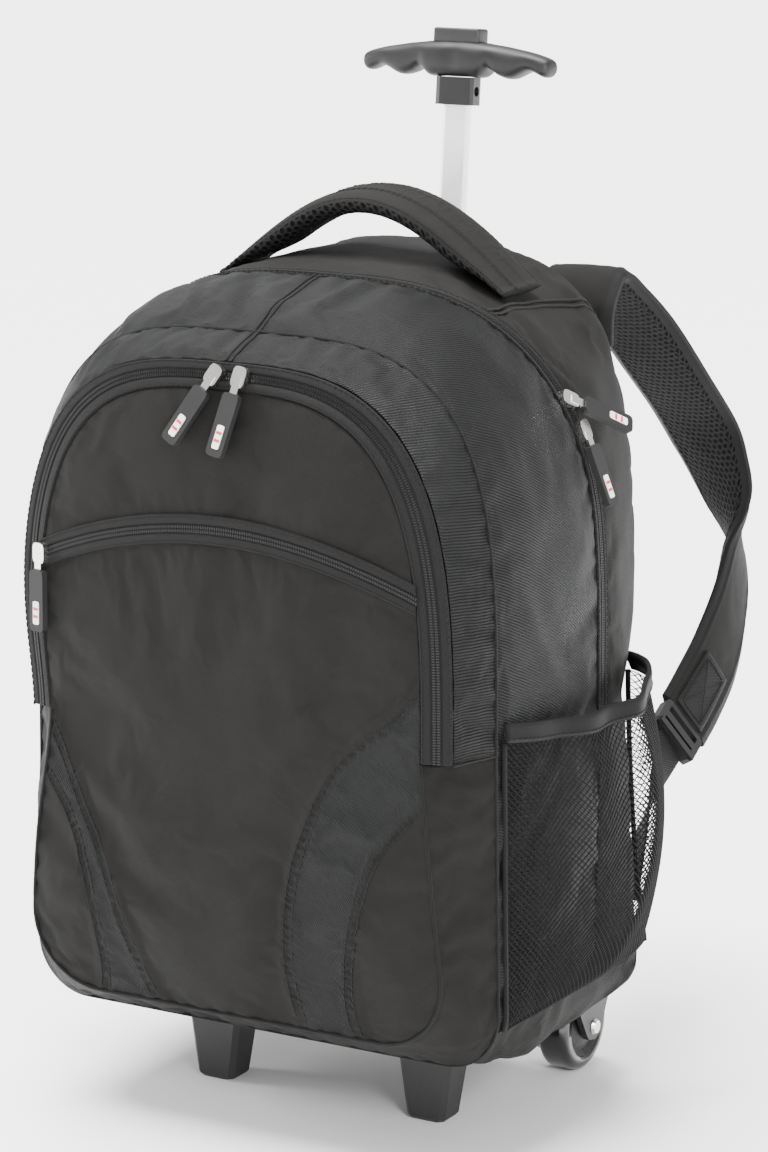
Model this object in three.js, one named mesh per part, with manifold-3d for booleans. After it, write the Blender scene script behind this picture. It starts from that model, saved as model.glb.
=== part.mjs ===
// A wheeled backpack, zipped shut and standing on two feet and two wheels, its pole partly drawn out.
// Millimetres. x runs across the bag, y from the front seam to the back, z up from the floor.
// Left and right are the viewer's, looking at the front.
import * as THREE from "three";
import Module from "manifold-3d";
import { mergeVertices } from "three/addons/utils/BufferGeometryUtils.js";

const wasm = await Module();
wasm.setup();

// The bag
const BAG_WIDTH = 312;
const BAG_TOP = 505;
const BAG_BASE = 56;
const BAG_DEPTH = 230;
const SHOULDER_HEIGHT = 246;
const BASE_SEAM_HEIGHT = 86;
const BACK_SLOPE = 0.092;
const CLOTH = 2;
const GAP = 0.3;
const FACE_BULGE = 10;
const FACE_TUCK = 11;
const PINCH = 8;
const PINCH_HEIGHT = 242;
const PINCH_REACH = 55;
const BACK_PAD = 6;
const BACK_CROWN = 3;

// Zips, sliders and pulls
const FRONT_ZIP_STAND = 0.9;
const MAIN_ZIP_WIDTH = 13;
const MAIN_ZIP_TOP_DEPTH = 0.46 * BAG_DEPTH;
const MAIN_ZIP_LOW_DEPTH = 0.678 * BAG_DEPTH;
const MAIN_ZIP_SWEEP = 1.9;
const FACE_ZIP_HEIGHT = SHOULDER_HEIGHT + 118;
const FACE_ZIP_DROP = 28;
const FACE_ZIP_WIDTH = 17;
const SLIDER_LENGTH = 12;
const SLIDER_WIDTH = 8.5;
const SLIDER_THICK = 4.2;
const TONGUE_LENGTH = 7;
const TONGUE_WIDTH = 4.6;
const TONGUE_THICK = 1.4;
const PULL_LENGTH = 36;
const PULL_WIDTH = 10.5;
const PULL_THICK = 4;
const INSET_LENGTH = 14;
const INSET_WIDTH = 5;
const INSET_THICK = 0.8;

// Carry handle
const CARRY_SPAN = 0.609 * BAG_WIDTH;
const CARRY_WIDTH = 48;
const CARRY_THICK = 14;
const CARRY_TAB_THICK = 5;
const CARRY_CROWN = BAG_TOP + 31;
const CARRY_DEPTH = 0.739 * BAG_DEPTH;
const CARRY_TILT = 0.06;

// Shoulder straps, their webbing and buckles
const STRAP_WIDTH = 58;
const STRAP_END_WIDTH = 42;
const STRAP_THICK = 11;
const STRAP_REACH = 150;
const STRAP_TOP_HEIGHT = 0.93 * BAG_TOP;
const WEBBING_WIDTH = 25;
const WEBBING_THICK = 2;
const BUCKLE_WIDTH = 36;
const BUCKLE_LENGTH = 25;
const BUCKLE_THICK = 6;

// Net side pockets
const POCKET_TOP = SHOULDER_HEIGHT + 6;
const POCKET_FRONT_DEPTH = 0.183 * BAG_DEPTH;
const POCKET_BACK_DEPTH = 0.991 * BAG_DEPTH;
const POCKET_BULGE = 31;
const POCKET_NET = 1.5;
const POCKET_HOLES_ACROSS = 7;
const POCKET_HOLES_UP = 4;
const POCKET_HOLE_SHARE = 0.62;
const POCKET_BAND_HEIGHT = 11;
const POCKET_BAND_THICK = 3;

// Pole, its guide, and the grip with its button
const POLE_WIDTH = 16.5;
const POLE_THICK = 8;
const POLE_CORNER = 2.4;
const POLE_LENGTH = 436;
const POLE_CLEARANCE = 0.4;
const GUIDE_WALL = 1.4;
const GUIDE_TOP = BAG_TOP - 21;
const POLE_SLOT_MARGIN = 3;
const GRIP_WIDTH = 127;
const GRIP_DEPTH = 25;
const GRIP_HEIGHT = BAG_TOP + 92.8;
const COLLAR_WIDTH = 25;
const COLLAR_DEPTH = 15;
const COLLAR_HEIGHT = 16.5;
const COLLAR_HOLE = 6;
const BUTTON_WIDTH = 31;
const BUTTON_DEPTH = 13;
const BUTTON_STAND = 7.5;
const BUTTON_TRAVEL = 4;

// Feet and wheels
const FOOT_SPREAD = 0.465 * BAG_WIDTH;
const FOOT_TOE_WIDTH = 25;
const FOOT_TOE_DEPTH = 22;
const FOOT_TOP_WIDTH = 41;
const FOOT_TOP_DEPTH = 28;
const FOOT_FRONT = 0.426 * BAG_DEPTH;
const WHEEL_RADIUS = 28;
const TYRE_WIDTH = 20;
const TYRE_THICK = 8;
const WHEEL_SPREAD = 0.667 * BAG_WIDTH;
const AXLE_DEPTH = 0.978 * BAG_DEPTH;
const AXLE_RADIUS = 3;
const AXLE_CLEARANCE = 0.2;
const CHEEK_THICK = 4;
const WHEEL_SIDE_CLEARANCE = 1.5;
const AXLE_HEAD_RADIUS = 5;
const AXLE_HEAD_THICK = 1.6;

// How finely the curves are cut
const DOME_STEPS = 17;
const CORNER_STEPS = 4;
const ROW_STEPS = 2;
const REAR_ROWS = 6;
const BASE_ROWS = 6;
const TURN_STEPS = 16;
const STRAP_STEPS = 20;

const half = BAG_WIDTH / 2;
const rise = BAG_TOP - SHOULDER_HEIGHT;
const drop = SHOULDER_HEIGHT - BAG_BASE;
const seam = GAP / 2;

// One row for each section of the bag, front to back, in shares of the bag's named sizes:
// depth of BAG_DEPTH, width and foot (half widths at the shoulder and the base) and corner of half the
// width, top of the rise above the shoulder, lift of the drop below it, lean of the back's slope, tuck
// of FACE_TUCK, pinch of PINCH, the hollow in the left side. round is the arch's exponent: 2 is an
// ellipse, more is squarer.
const SECTIONS = {
  face: {
    depth: 0, width: 0.8, foot: 0.895, top: 0.753, round: 3.2,
    lift: 0.12, corner: 0.3, lean: 0, tuck: 1, pinch: 0.9,
  },
  zipEdge: {
    depth: 0.026, width: 0.91, foot: 0.91, top: 0.811, round: 3.2,
    lift: 0.1, corner: 0.28, lean: 0, tuck: 0.9, pinch: 1,
  },
  cornerSeam: {
    depth: 0.157, width: 0.974, foot: 0.995, top: 0.86, round: 3.6,
    lift: 0.035, corner: 0.22, lean: 0, tuck: 0, pinch: 0.3,
  },
  middle: {
    depth: 0.33, width: 0.995, foot: 0.985, top: 0.925, round: 3.6,
    lift: 0.005, corner: 0.12, lean: 0, tuck: 0, pinch: 0,
  },
  zip: {
    depth: 0.5, width: 1, foot: 0.98, top: 0.95, round: 3.35,
    lift: 0, corner: 0.11, lean: 0, tuck: 0, pinch: 0,
  },
  rear: {
    depth: 0.79, width: 0.97, foot: 0.965, top: 0.96, round: 3.4,
    lift: 0.01, corner: 0.11, lean: 0.2, tuck: 0, pinch: 0,
  },
  edge: {
    depth: 0.895, width: 0.9, foot: 0.97, top: 0.965, round: 3.4,
    lift: 0.015, corner: 0.11, lean: 0.8, tuck: 0, pinch: 0,
  },
  turn: {
    depth: 0.965, width: 0.8, foot: 0.965, top: 0.935, round: 3,
    lift: 0.03, corner: 0.13, lean: 0.95, tuck: 0, pinch: 0,
  },
  back: {
    depth: 1, width: 0.68, foot: 0.85, top: 0.88, round: 3,
    lift: 0.08, corner: 0.18, lean: 1, tuck: 0, pinch: 0,
  },
};

// The side of an outline below the shoulder: heights as shares of the way up from where it starts.
const SIDE_SHARES = [0, 0.35, 0.7, 0.97];

// Shallow hollows in the stuffed cloth. x is a share of half the width, y of the bag's depth, z of its
// height; size is how far a hollow spreads and deep how far it goes in, in shares of the bag's depth.
const DENTS = [
  { x: 0.98, y: 0.34, z: 0.68, size: 0.22, deep: 0.02 },
  { x: 1, y: 0.45, z: 0.38, size: 0.25, deep: 0.014 },
  { x: 0.94, y: 0.08, z: 0.64, size: 0.14, deep: 0.018 },
  { x: 0.94, y: 0.1, z: 0.33, size: 0.16, deep: 0.016 },
  { x: -0.98, y: 0.34, z: 0.6, size: 0.24, deep: 0.018 },
  { x: -0.94, y: 0.08, z: 0.5, size: 0.16, deep: 0.016 },
  { x: 0.1, y: 0.3, z: 0.93, size: 0.2, deep: 0.012 },
  { x: -0.42, y: 0.34, z: 0.93, size: 0.16, deep: 0.016 },
  { x: 0.78, y: 0.1, z: 0.17, size: 0.12, deep: 0.02 },
  { x: 0.45, y: 0.62, z: 1, size: 0.2, deep: 0.012 },
];

// The two seams of each curved panel on the lower face: x in shares of the face's half width, z in
// shares of the height from the base to the shoulder.
const PANEL_SEAM_OUTER = [
  { x: 1.12, z: 1.28 },
  { x: 1.01, z: 1.215 },
  { x: 0.88, z: 1.12 },
  { x: 0.62, z: 0.96 },
  { x: 0.49, z: 0.8 },
  { x: 0.39, z: 0.62 },
  { x: 0.34, z: 0.43 },
  { x: 0.335, z: 0.26 },
  { x: 0.375, z: 0.1 },
  { x: 0.4, z: 0 },
];
const PANEL_SEAM_INNER = [
  { x: 1.2, z: 1.0 },
  { x: 1.01, z: 0.87 },
  { x: 0.88, z: 0.785 },
  { x: 0.775, z: 0.685 },
  { x: 0.69, z: 0.52 },
  { x: 0.64, z: 0.33 },
  { x: 0.63, z: 0.21 },
  { x: 0.66, z: 0.1 },
  { x: 0.68, z: 0 },
];
const PANEL_SEAM_LEFT = [
  { x: 1.15, z: 1.18 },
  { x: 1.03, z: 1.05 },
  { x: 0.92, z: 0.935 },
  { x: 0.84, z: 0.84 },
  { x: 0.735, z: 0.695 },
  { x: 0.655, z: 0.58 },
  { x: 0.56, z: 0.37 },
  { x: 0.45, z: 0.16 },
  { x: 0.36, z: 0 },
];

// The run of a shoulder strap: x in shares of half the width, y (behind the back) in shares of
// STRAP_REACH, z in shares of STRAP_TOP_HEIGHT. fx, fy, fz is the way its outer face looks; slim is 0 at
// full width and 1 at the width of its lower end.
const STRAP_RUN = [
  { x: 0.46, y: -0.015, z: 0.93, fx: 0, fy: -1, fz: 0.1, slim: 0 },
  { x: 0.465, y: -0.004, z: 0.98, fx: 0, fy: -0.8, fz: 0.6, slim: 0 },
  { x: 0.475, y: 0.1, z: 1.012, fx: 0, fy: 0.3, fz: 1, slim: 0 },
  { x: 0.49, y: 0.25, z: 0.985, fx: 0, fy: 0.55, fz: 0.85, slim: 0 },
  { x: 0.52, y: 0.44, z: 0.935, fx: 0, fy: 0.7, fz: 0.7, slim: 0 },
  { x: 0.555, y: 0.66, z: 0.865, fx: 0.05, fy: 0.85, fz: 0.5, slim: 0 },
  { x: 0.585, y: 0.9, z: 0.79, fx: 0.12, fy: 0.95, fz: 0.28, slim: 0 },
  { x: 0.62, y: 1.0, z: 0.735, fx: 0.3, fy: 0.93, fz: 0.1, slim: 0 },
  { x: 0.665, y: 1.05, z: 0.675, fx: 0.55, fy: 0.8, fz: 0, slim: 0.05 },
  { x: 0.72, y: 1.02, z: 0.602, fx: 0.93, fy: 0.25, fz: 0, slim: 0.3 },
  { x: 0.765, y: 0.87, z: 0.535, fx: 0.95, fy: 0.02, fz: 0.1, slim: 0.5 },
  { x: 0.8, y: 0.66, z: 0.483, fx: 0.93, fy: -0.16, fz: 0.22, slim: 0.7 },
  { x: 0.83, y: 0.42, z: 0.447, fx: 0.9, fy: -0.25, fz: 0.35, slim: 0.9 },
  { x: 0.85, y: 0.25, z: 0.427, fx: 0.87, fy: -0.3, fz: 0.4, slim: 1 },
];

// The grip along its length: x in shares of half its width, top and foot (of its wing) in millimetres
// above and below GRIP_HEIGHT in shares of GRIP_DEPTH, and how deep it is front to back.
const GRIP_PROFILE = [
  { x: 1, top: 0.1, foot: 0.02, deep: 0.2 },
  { x: 0.985, top: 0.22, foot: -0.1, deep: 0.5 },
  { x: 0.93, top: 0.3, foot: -0.17, deep: 0.66 },
  { x: 0.78, top: 0.4, foot: -0.05, deep: 0.76 },
  { x: 0.6, top: 0.48, foot: -0.24, deep: 0.82 },
  { x: 0.47, top: 0.53, foot: -0.19, deep: 0.84 },
  { x: 0.36, top: 0.56, foot: -0.05, deep: 0.88 },
  { x: 0.27, top: 0.59, foot: -0.24, deep: 0.96 },
  { x: 0.12, top: 0.61, foot: -0.24, deep: 1 },
  { x: 0, top: 0.61, foot: -0.24, deep: 1 },
];

const lerp = (from, to, share) => from + (to - from) * share;
const point = (x, y, z) => new THREE.Vector3(x, y, z);

// Turns vertices and triangles into a closed mesh geometry with its faces pointing out.
function closedGeometry(vertices, triangles) {
  const area = new THREE.Vector3();
  let volume = 0;
  for (const [a, b, c] of triangles) {
    area.crossVectors(vertices[b], vertices[c]);
    volume += vertices[a].dot(area);
  }
  const index = triangles.flatMap(([a, b, c]) => (volume < 0 ? [a, c, b] : [a, b, c]));
  const geometry = new THREE.BufferGeometry().setFromPoints(vertices);
  geometry.setIndex(index);
  geometry.computeVertexNormals();
  return geometry;
}

// A cloth wall between two grids of points with the same rows and columns.
function sheetBetween(outer, inner) {
  const rows = outer.length;
  const columns = outer[0].length;
  const vertices = [...outer.flat(), ...inner.flat()];
  const at = (side, row, column) => side * rows * columns + row * columns + column;
  const triangles = [];
  const quad = (a, b, c, d) => triangles.push([a, b, c], [a, c, d]);
  const lastRow = rows - 1;
  const lastColumn = columns - 1;
  for (let row = 0; row < lastRow; row++) {
    for (let column = 0; column < lastColumn; column++) {
      quad(at(0, row, column), at(0, row, column + 1), at(0, row + 1, column + 1), at(0, row + 1, column));
      quad(at(1, row, column), at(1, row + 1, column), at(1, row + 1, column + 1), at(1, row, column + 1));
    }
    quad(at(0, row, 0), at(0, row + 1, 0), at(1, row + 1, 0), at(1, row, 0));
    quad(at(0, row, lastColumn), at(1, row, lastColumn), at(1, row + 1, lastColumn), at(0, row + 1, lastColumn));
  }
  for (let column = 0; column < lastColumn; column++) {
    quad(at(0, 0, column), at(1, 0, column), at(1, 0, column + 1), at(0, 0, column + 1));
    quad(at(0, lastRow, column), at(0, lastRow, column + 1), at(1, lastRow, column + 1), at(1, lastRow, column));
  }
  return closedGeometry(vertices, triangles);
}

// A solid through closed rings of points, its first and last ring closed by fans.
function loft(rings) {
  const count = rings[0].length;
  const vertices = rings.flat();
  const triangles = [];
  for (let ring = 0; ring < rings.length - 1; ring++) {
    for (let step = 0; step < count; step++) {
      const next = (step + 1) % count;
      const low = ring * count;
      const high = low + count;
      triangles.push([low + step, low + next, high + next], [low + step, high + next, high + step]);
    }
  }
  for (const [ring, forward] of [[0, false], [rings.length - 1, true]]) {
    const middle = new THREE.Vector3();
    rings[ring].forEach((corner) => middle.addScaledVector(corner, 1 / count));
    const centre = vertices.push(middle) - 1;
    for (let step = 0; step < count; step++) {
      const here = ring * count + step;
      const next = ring * count + ((step + 1) % count);
      triangles.push(forward ? [centre, here, next] : [centre, next, here]);
    }
  }
  return closedGeometry(vertices, triangles);
}

// A manifold solid from a geometry, and back.
function solidFrom(geometry) {
  const bare = geometry.clone();
  bare.deleteAttribute("normal");
  bare.deleteAttribute("uv");
  const merged = mergeVertices(bare, 1e-4);
  return new wasm.Manifold(
    new wasm.Mesh({
      numProp: 3,
      vertProperties: merged.attributes.position.array,
      triVerts: new Uint32Array(merged.index.array),
    }),
  );
}

function geometryFrom(solid) {
  const mesh = solid.getMesh();
  const corners = new Float32Array(mesh.numVert * 3);
  for (let vertex = 0; vertex < mesh.numVert; vertex++) {
    const start = vertex * mesh.numProp;
    corners.set(mesh.vertProperties.subarray(start, start + 3), vertex * 3);
  }
  const geometry = new THREE.BufferGeometry();
  geometry.setAttribute("position", new THREE.BufferAttribute(corners, 3));
  geometry.setIndex(new THREE.BufferAttribute(mesh.triVerts, 1));
  geometry.computeVertexNormals();
  return geometry;
}

// A smooth run through table rows: the named column at a share of the way along.
function columnAt(rows, column, share) {
  const place = share * (rows.length - 1);
  const index = Math.min(Math.floor(place), rows.length - 2);
  const pick = (offset) => rows[THREE.MathUtils.clamp(index + offset, 0, rows.length - 1)][column];
  const part = place - index;
  const before = (pick(1) - pick(-1)) / 2;
  const after = (pick(2) - pick(0)) / 2;
  const square = part * part;
  const cube = square * part;
  return (
    (2 * cube - 3 * square + 1) * pick(0) +
    (cube - 2 * square + part) * before +
    (3 * square - 2 * cube) * pick(1) +
    (cube - square) * after
  );
}

// Sections of the bag

function sectionFrom(row) {
  return {
    depth: row.depth * BAG_DEPTH,
    width: row.width * half,
    foot: row.foot * half,
    top: SHOULDER_HEIGHT + row.top * rise,
    base: BAG_BASE + row.lift * drop,
    corner: row.corner * half,
    round: row.round,
    lean: row.lean,
    tuck: row.tuck,
    pinch: row.pinch * PINCH,
  };
}

const section = Object.fromEntries(Object.entries(SECTIONS).map(([name, row]) => [name, sectionFrom(row)]));

function depthAt(part, height) {
  const below = Math.max(0, (SHOULDER_HEIGHT - height) / drop);
  const sloped = part.lean * BACK_SLOPE * (height - BAG_BASE);
  return part.depth + sloped + part.tuck * FACE_TUCK * below * below;
}

function sideWidth(part, height) {
  const bend = part.base + part.corner;
  const straight = lerp(part.foot, part.width, (height - part.base) / (SHOULDER_HEIGHT - part.base));
  const below = Math.max(0, (bend - height) / part.corner);
  return straight - part.corner * (1 - Math.sqrt(1 - Math.min(1, below) ** 2));
}

// Half the width of a section's arch at an angle from its side, with the height there.
function archPlace(part, angle) {
  const z = SHOULDER_HEIGHT + (part.top - SHOULDER_HEIGHT) * Math.sin(angle) ** (2 / part.round);
  return { x: part.width * Math.cos(angle) ** (2 / part.round), z };
}

// The left side of an outline: the right one mirrored, hollowed a little where the bag sags.
function leftOf(part, { x, z }) {
  const hollow = part.pinch * Math.exp(-(((z - PINCH_HEIGHT) / PINCH_REACH) ** 2));
  return { x: Math.min(0, hollow - x), z };
}

// The outline above a height, from the right side over the top to the left side, as x and z.
function archOutline(part, fromHeight) {
  const right = [];
  if (fromHeight < SHOULDER_HEIGHT) {
    for (const share of SIDE_SHARES) {
      const z = lerp(fromHeight, SHOULDER_HEIGHT, share);
      right.push({ x: sideWidth(part, z), z });
    }
  }
  const start = Math.max(0, fromHeight - SHOULDER_HEIGHT);
  for (let step = 0; step < DOME_STEPS / 2; step++) {
    const { x, z } = archPlace(part, (Math.PI * step) / DOME_STEPS);
    right.push({ x, z: Math.max(z, SHOULDER_HEIGHT + start) });
  }
  const left = right.map((place) => leftOf(part, place)).reverse();
  return [...right, { x: 0, z: part.top }, ...left];
}

// The outline below a height, from the left side under the base to the right side, as x and z.
function troughOutline(part, fromHeight) {
  const bend = part.base + part.corner;
  const heights = [];
  const sideSteps = SIDE_SHARES.length;
  for (let step = 0; step < sideSteps; step++) {
    heights.push(lerp(fromHeight, Math.min(bend, fromHeight), step / sideSteps));
  }
  const start = Math.asin(Math.max(0, (bend - fromHeight) / part.corner));
  const steps = fromHeight > bend ? CORNER_STEPS : CORNER_STEPS + sideSteps;
  if (fromHeight <= bend) heights.length = 0;
  for (let step = 0; step <= steps; step++) {
    heights.push(bend - part.corner * Math.sin(lerp(start, Math.PI / 2, step / steps)));
  }
  const right = heights.map((z) => ({ x: sideWidth(part, z), z }));
  right.push({ x: sideWidth(part, part.base) / 2, z: part.base });
  const left = right.map((place) => leftOf(part, place));
  return [...left, { x: 0, z: part.base }, ...right.reverse()];
}

// Moves an outline towards the middle of the bag by a distance.
function inset(outline, distance, joined) {
  const last = outline.length - 1;
  return outline.map(({ x, z }, index) => {
    const open = !joined && (index === 0 || index === last);
    if (open) return { x: x - Math.sign(x) * distance, z };
    const before = outline[index > 0 ? index - 1 : joined ? last : 0];
    const after = outline[index < last ? index + 1 : joined ? 0 : last];
    const alongX = after.x - before.x;
    const alongZ = after.z - before.z;
    const length = Math.hypot(alongX, alongZ);
    return { x: x - (alongZ / length) * distance, z: z + (alongX / length) * distance };
  });
}

// How far the dents push in a point of the bag.
function dentAt(x, y, z) {
  let depth = 0;
  for (const dent of DENTS) {
    const away = Math.hypot(
      x - dent.x * half,
      y - dent.y * BAG_DEPTH,
      z - lerp(BAG_BASE, BAG_TOP, dent.z),
    );
    const spread = dent.size * BAG_DEPTH;
    depth += dent.deep * BAG_DEPTH * Math.exp(-((away / spread) ** 2));
  }
  return depth;
}

// A band of the bag's skin through several sections. outlines has one outline for each row and depths
// gives y for a row and a height. Rows between are splined, dented, and given the cloth's thickness.
function band(outlines, depths, rows = (outlines.length - 1) * ROW_STEPS) {
  const outer = [];
  const inner = [];
  for (let step = 0; step <= rows; step++) {
    const share = step / rows;
    const smooth = outlines[0].map((_, column) => {
      const track = outlines.map((outline, row) => ({
        ...outline[column],
        y: depths(row, outline[column].z, outline[column].x),
      }));
      return {
        x: columnAt(track, "x", share),
        y: columnAt(track, "y", share),
        z: columnAt(track, "z", share),
      };
    });
    const atSeam = step === 0 || step === rows;
    const push = smooth.map(({ x, y, z }) => (atSeam ? 0 : dentAt(x, y, z)));
    const place = (distance) => inset(smooth, distance, false);
    const skin = smooth.map(({ y }, column) => {
      const moved = place(push[column])[column];
      return point(moved.x, y, moved.z);
    });
    const lining = smooth.map(({ y }, column) => {
      const moved = place(push[column] + CLOTH)[column];
      return point(moved.x, y, moved.z);
    });
    outer.push(skin);
    inner.push(lining);
  }
  return sheetBetween(outer, inner);
}

// The main zip runs low at the sides and forward over the top: y for a height.
function mainZipDepth(height) {
  const low = SHOULDER_HEIGHT + 0.42 * rise;
  const share = THREE.MathUtils.clamp((height - low) / (section.zip.top - low), 0, 1);
  return lerp(MAIN_ZIP_LOW_DEPTH, MAIN_ZIP_TOP_DEPTH, share ** MAIN_ZIP_SWEEP);
}

// Where cloth stops beside the main zip: half the tape above the shoulder, a closed seam below it.
function zipSideGap(height) {
  return height < SHOULDER_HEIGHT ? seam : MAIN_ZIP_WIDTH / 2;
}

function mainGusset() {
  const parts = [section.cornerSeam, section.middle, section.zip];
  const outlines = parts.map((part) => archOutline(part, BASE_SEAM_HEIGHT + seam));
  const front = section.cornerSeam.depth + seam;
  return band(outlines, (row, z) => {
    const back = mainZipDepth(z) - zipSideGap(z);
    return lerp(front, back, row / 2);
  });
}

function rearBody() {
  const parts = [section.zip, section.rear, section.edge, section.turn, section.back];
  const outlines = parts.map((part) => archOutline(part, BASE_SEAM_HEIGHT + seam));
  const depths = (row, z) => (row === 0 ? mainZipDepth(z) + zipSideGap(z) : depthAt(parts[row], z));
  const skin = band(outlines, depths, REAR_ROWS);
  const slot = new THREE.BoxGeometry(
    POLE_WIDTH + 2 * POLE_SLOT_MARGIN,
    POLE_THICK + 2 * POLE_SLOT_MARGIN,
    rise / 2,
  );
  placeOnPole(slot, BAG_TOP);
  return geometryFrom(solidFrom(skin).subtract(solidFrom(slot)));
}

function basePanel() {
  const { cornerSeam, middle, zip, rear, edge, turn, back } = section;
  const parts = [cornerSeam, middle, zip, rear, edge, turn, back];
  const outlines = parts.map((part) => troughOutline(part, BASE_SEAM_HEIGHT - seam));
  const depths = (row, z) => (row === 0 ? parts[0].depth + seam : depthAt(parts[row], z));
  return band(outlines, depths, BASE_ROWS);
}

function frontGusset() {
  const outlines = [section.zipEdge, section.cornerSeam].map((part) =>
    archOutline(part, SHOULDER_HEIGHT + seam),
  );
  const front = section.zipEdge.depth + CLOTH + GAP;
  return band(outlines, (row) => (row === 0 ? front : section.cornerSeam.depth - seam));
}

function lowerGusset() {
  const outlines = [section.face, section.cornerSeam].map((part) =>
    troughOutline(part, SHOULDER_HEIGHT - seam),
  );
  return band(outlines, (row, z) =>
    row === 0 ? depthAt(section.face, z) + CLOTH + 2 * GAP : section.cornerSeam.depth - seam,
  );
}

// A flat wall that fills an outline: the divider between the front pocket and the main space.
function dividerPanel() {
  const part = section.cornerSeam;
  const whole = [
    ...archOutline(part, SHOULDER_HEIGHT),
    ...troughOutline(part, SHOULDER_HEIGHT - SIDE_SHARES[1] * drop),
  ];
  const outline = inset(whole, CLOTH + 6 * GAP, true);
  const front = part.depth + 2 * GAP;
  const ring = (y) => outline.map(({ x, z }) => point(x, y, z));
  return loft([ring(front), ring(front + CLOTH)]);
}

// The padded back: a plate inside the last section of the rear body, leaning as the back does.
function backPanel() {
  const part = section.back;
  const upper = archOutline(part, BASE_SEAM_HEIGHT + seam);
  const whole = [...upper, ...troughOutline(part, BASE_SEAM_HEIGHT - seam)];
  const rings = [
    { shrink: CLOTH + 2 * GAP, out: -BACK_PAD },
    { shrink: CLOTH + 2 * GAP, out: 0 },
    { shrink: 5 * BACK_CROWN, out: BACK_CROWN },
  ].map(({ shrink, out }) =>
    inset(whole, shrink, true).map(({ x, z }) => point(x, depthAt(part, z) + out, z)),
  );
  return loft(rings);
}

// The front face, cut into its sewn pieces

function faceOutline() {
  return [
    ...archOutline(section.face, SHOULDER_HEIGHT),
    ...troughOutline(section.face, SHOULDER_HEIGHT - SIDE_SHARES[1] * drop),
  ];
}

// The crowned face as a dish of cloth. stand moves its front surface out.
function faceDish(stand) {
  const outline = inset(faceOutline(), GAP, true);
  const middle = { x: 0, z: SHOULDER_HEIGHT };
  const ring = (share, back) =>
    outline.map(({ x, z }) => {
      const bulge = FACE_BULGE * (1 - share ** 2.4);
      const y = depthAt(section.face, z) * share ** 3 - bulge;
      return point(lerp(middle.x, x, share), y + back, lerp(middle.z, z, share));
    });
  const shares = [0.25, 0.6, 0.86, 1];
  const front = shares.map((share) => ring(share, -stand));
  const behind = shares.map((share) => ring(share, CLOTH)).reverse();
  return solidFrom(loft([...front, ...behind]));
}

// A solid that fills a shape drawn in x and z, right through the face from front to back.
function faceCutter(outline) {
  const shape = new THREE.Shape(outline.map(({ x, z }) => new THREE.Vector2(x, z)));
  const geometry = new THREE.ExtrudeGeometry(shape, { depth: 4 * FACE_BULGE, bevelEnabled: false });
  geometry.rotateX(Math.PI / 2);
  geometry.translate(0, 2 * FACE_BULGE, 0);
  return solidFrom(geometry);
}

const faceZipLine = (x) => FACE_ZIP_HEIGHT - FACE_ZIP_DROP * (x / section.face.width) ** 2;

// The region of the face beside the face zip: between two heights measured from its middle line.
function zipRegion(low, high) {
  const stops = [-1.2, -0.95, -0.7, -0.45, -0.2, 0, 0.2, 0.45, 0.7, 0.95, 1.2].map(
    (share) => share * section.face.width,
  );
  const bottom = stops.map((x) => ({ x, z: low === null ? 0 : faceZipLine(x) + low }));
  const top = stops.map((x) => ({ x, z: high === null ? BAG_TOP : faceZipLine(x) + high })).reverse();
  return faceCutter([...bottom, ...top]);
}

// A seam line of the lower face in millimetres, moved sideways and mirrored to the left by side -1.
function seamLine(rows, side, shift) {
  return rows.map((row) => ({
    x: side * (row.x * section.face.width + shift),
    z: lerp(BAG_BASE, SHOULDER_HEIGHT, row.z),
  }));
}

// The region of the face outside a seam line.
function outsideRegion(rows, side, shift) {
  const line = seamLine(rows, side, shift);
  const far = side * BAG_WIDTH;
  return faceCutter([
    { x: far, z: line[0].z },
    ...line,
    { x: line[line.length - 1].x, z: 0 },
    { x: far, z: 0 },
  ]);
}

function facePieces() {
  const dish = faceDish(0);
  const above = zipRegion(FACE_ZIP_WIDTH / 2 + GAP, null);
  const below = zipRegion(null, -FACE_ZIP_WIDTH / 2 - GAP);
  const lower = dish.intersect(below);
  const pieces = { front_panel_upper: dish.intersect(above) };
  const sides = [
    { name: "right", side: 1, outer: PANEL_SEAM_OUTER },
    { name: "left", side: -1, outer: PANEL_SEAM_LEFT },
  ];
  let centre = lower;
  for (const { name, side, outer } of sides) {
    const beyondOuter = outsideRegion(outer, side, seam);
    centre = centre.subtract(outsideRegion(outer, side, -seam));
    const flank = lower.intersect(beyondOuter);
    pieces[`curved_panel_${name}`] = flank.subtract(outsideRegion(PANEL_SEAM_INNER, side, -seam));
    pieces[`corner_panel_${name}`] = flank.intersect(outsideRegion(PANEL_SEAM_INNER, side, seam));
  }
  pieces.front_panel_lower = centre;
  pieces.face_zip = faceDish(FRONT_ZIP_STAND).intersect(
    zipRegion(-FACE_ZIP_WIDTH / 2, FACE_ZIP_WIDTH / 2),
  );
  return pieces;
}

// Zip tapes along the two arches

function frontZip() {
  const inside = inset(archOutline(section.face, SHOULDER_HEIGHT + seam), -seam, false);
  const outside = inset(archOutline(section.zipEdge, SHOULDER_HEIGHT + seam), 0, false);
  const rows = [0, 0.4, 0.6, 1];
  const stand = [0, FRONT_ZIP_STAND, FRONT_ZIP_STAND, 0];
  const grid = (back) =>
    rows.map((share, row) =>
      inside.map((corner, column) =>
        point(
          lerp(corner.x, outside[column].x, share),
          lerp(0, section.zipEdge.depth, share) + (back ? CLOTH : -stand[row]),
          lerp(corner.z, outside[column].z, share),
        ),
      ),
    );
  return sheetBetween(grid(false), grid(true));
}

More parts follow.
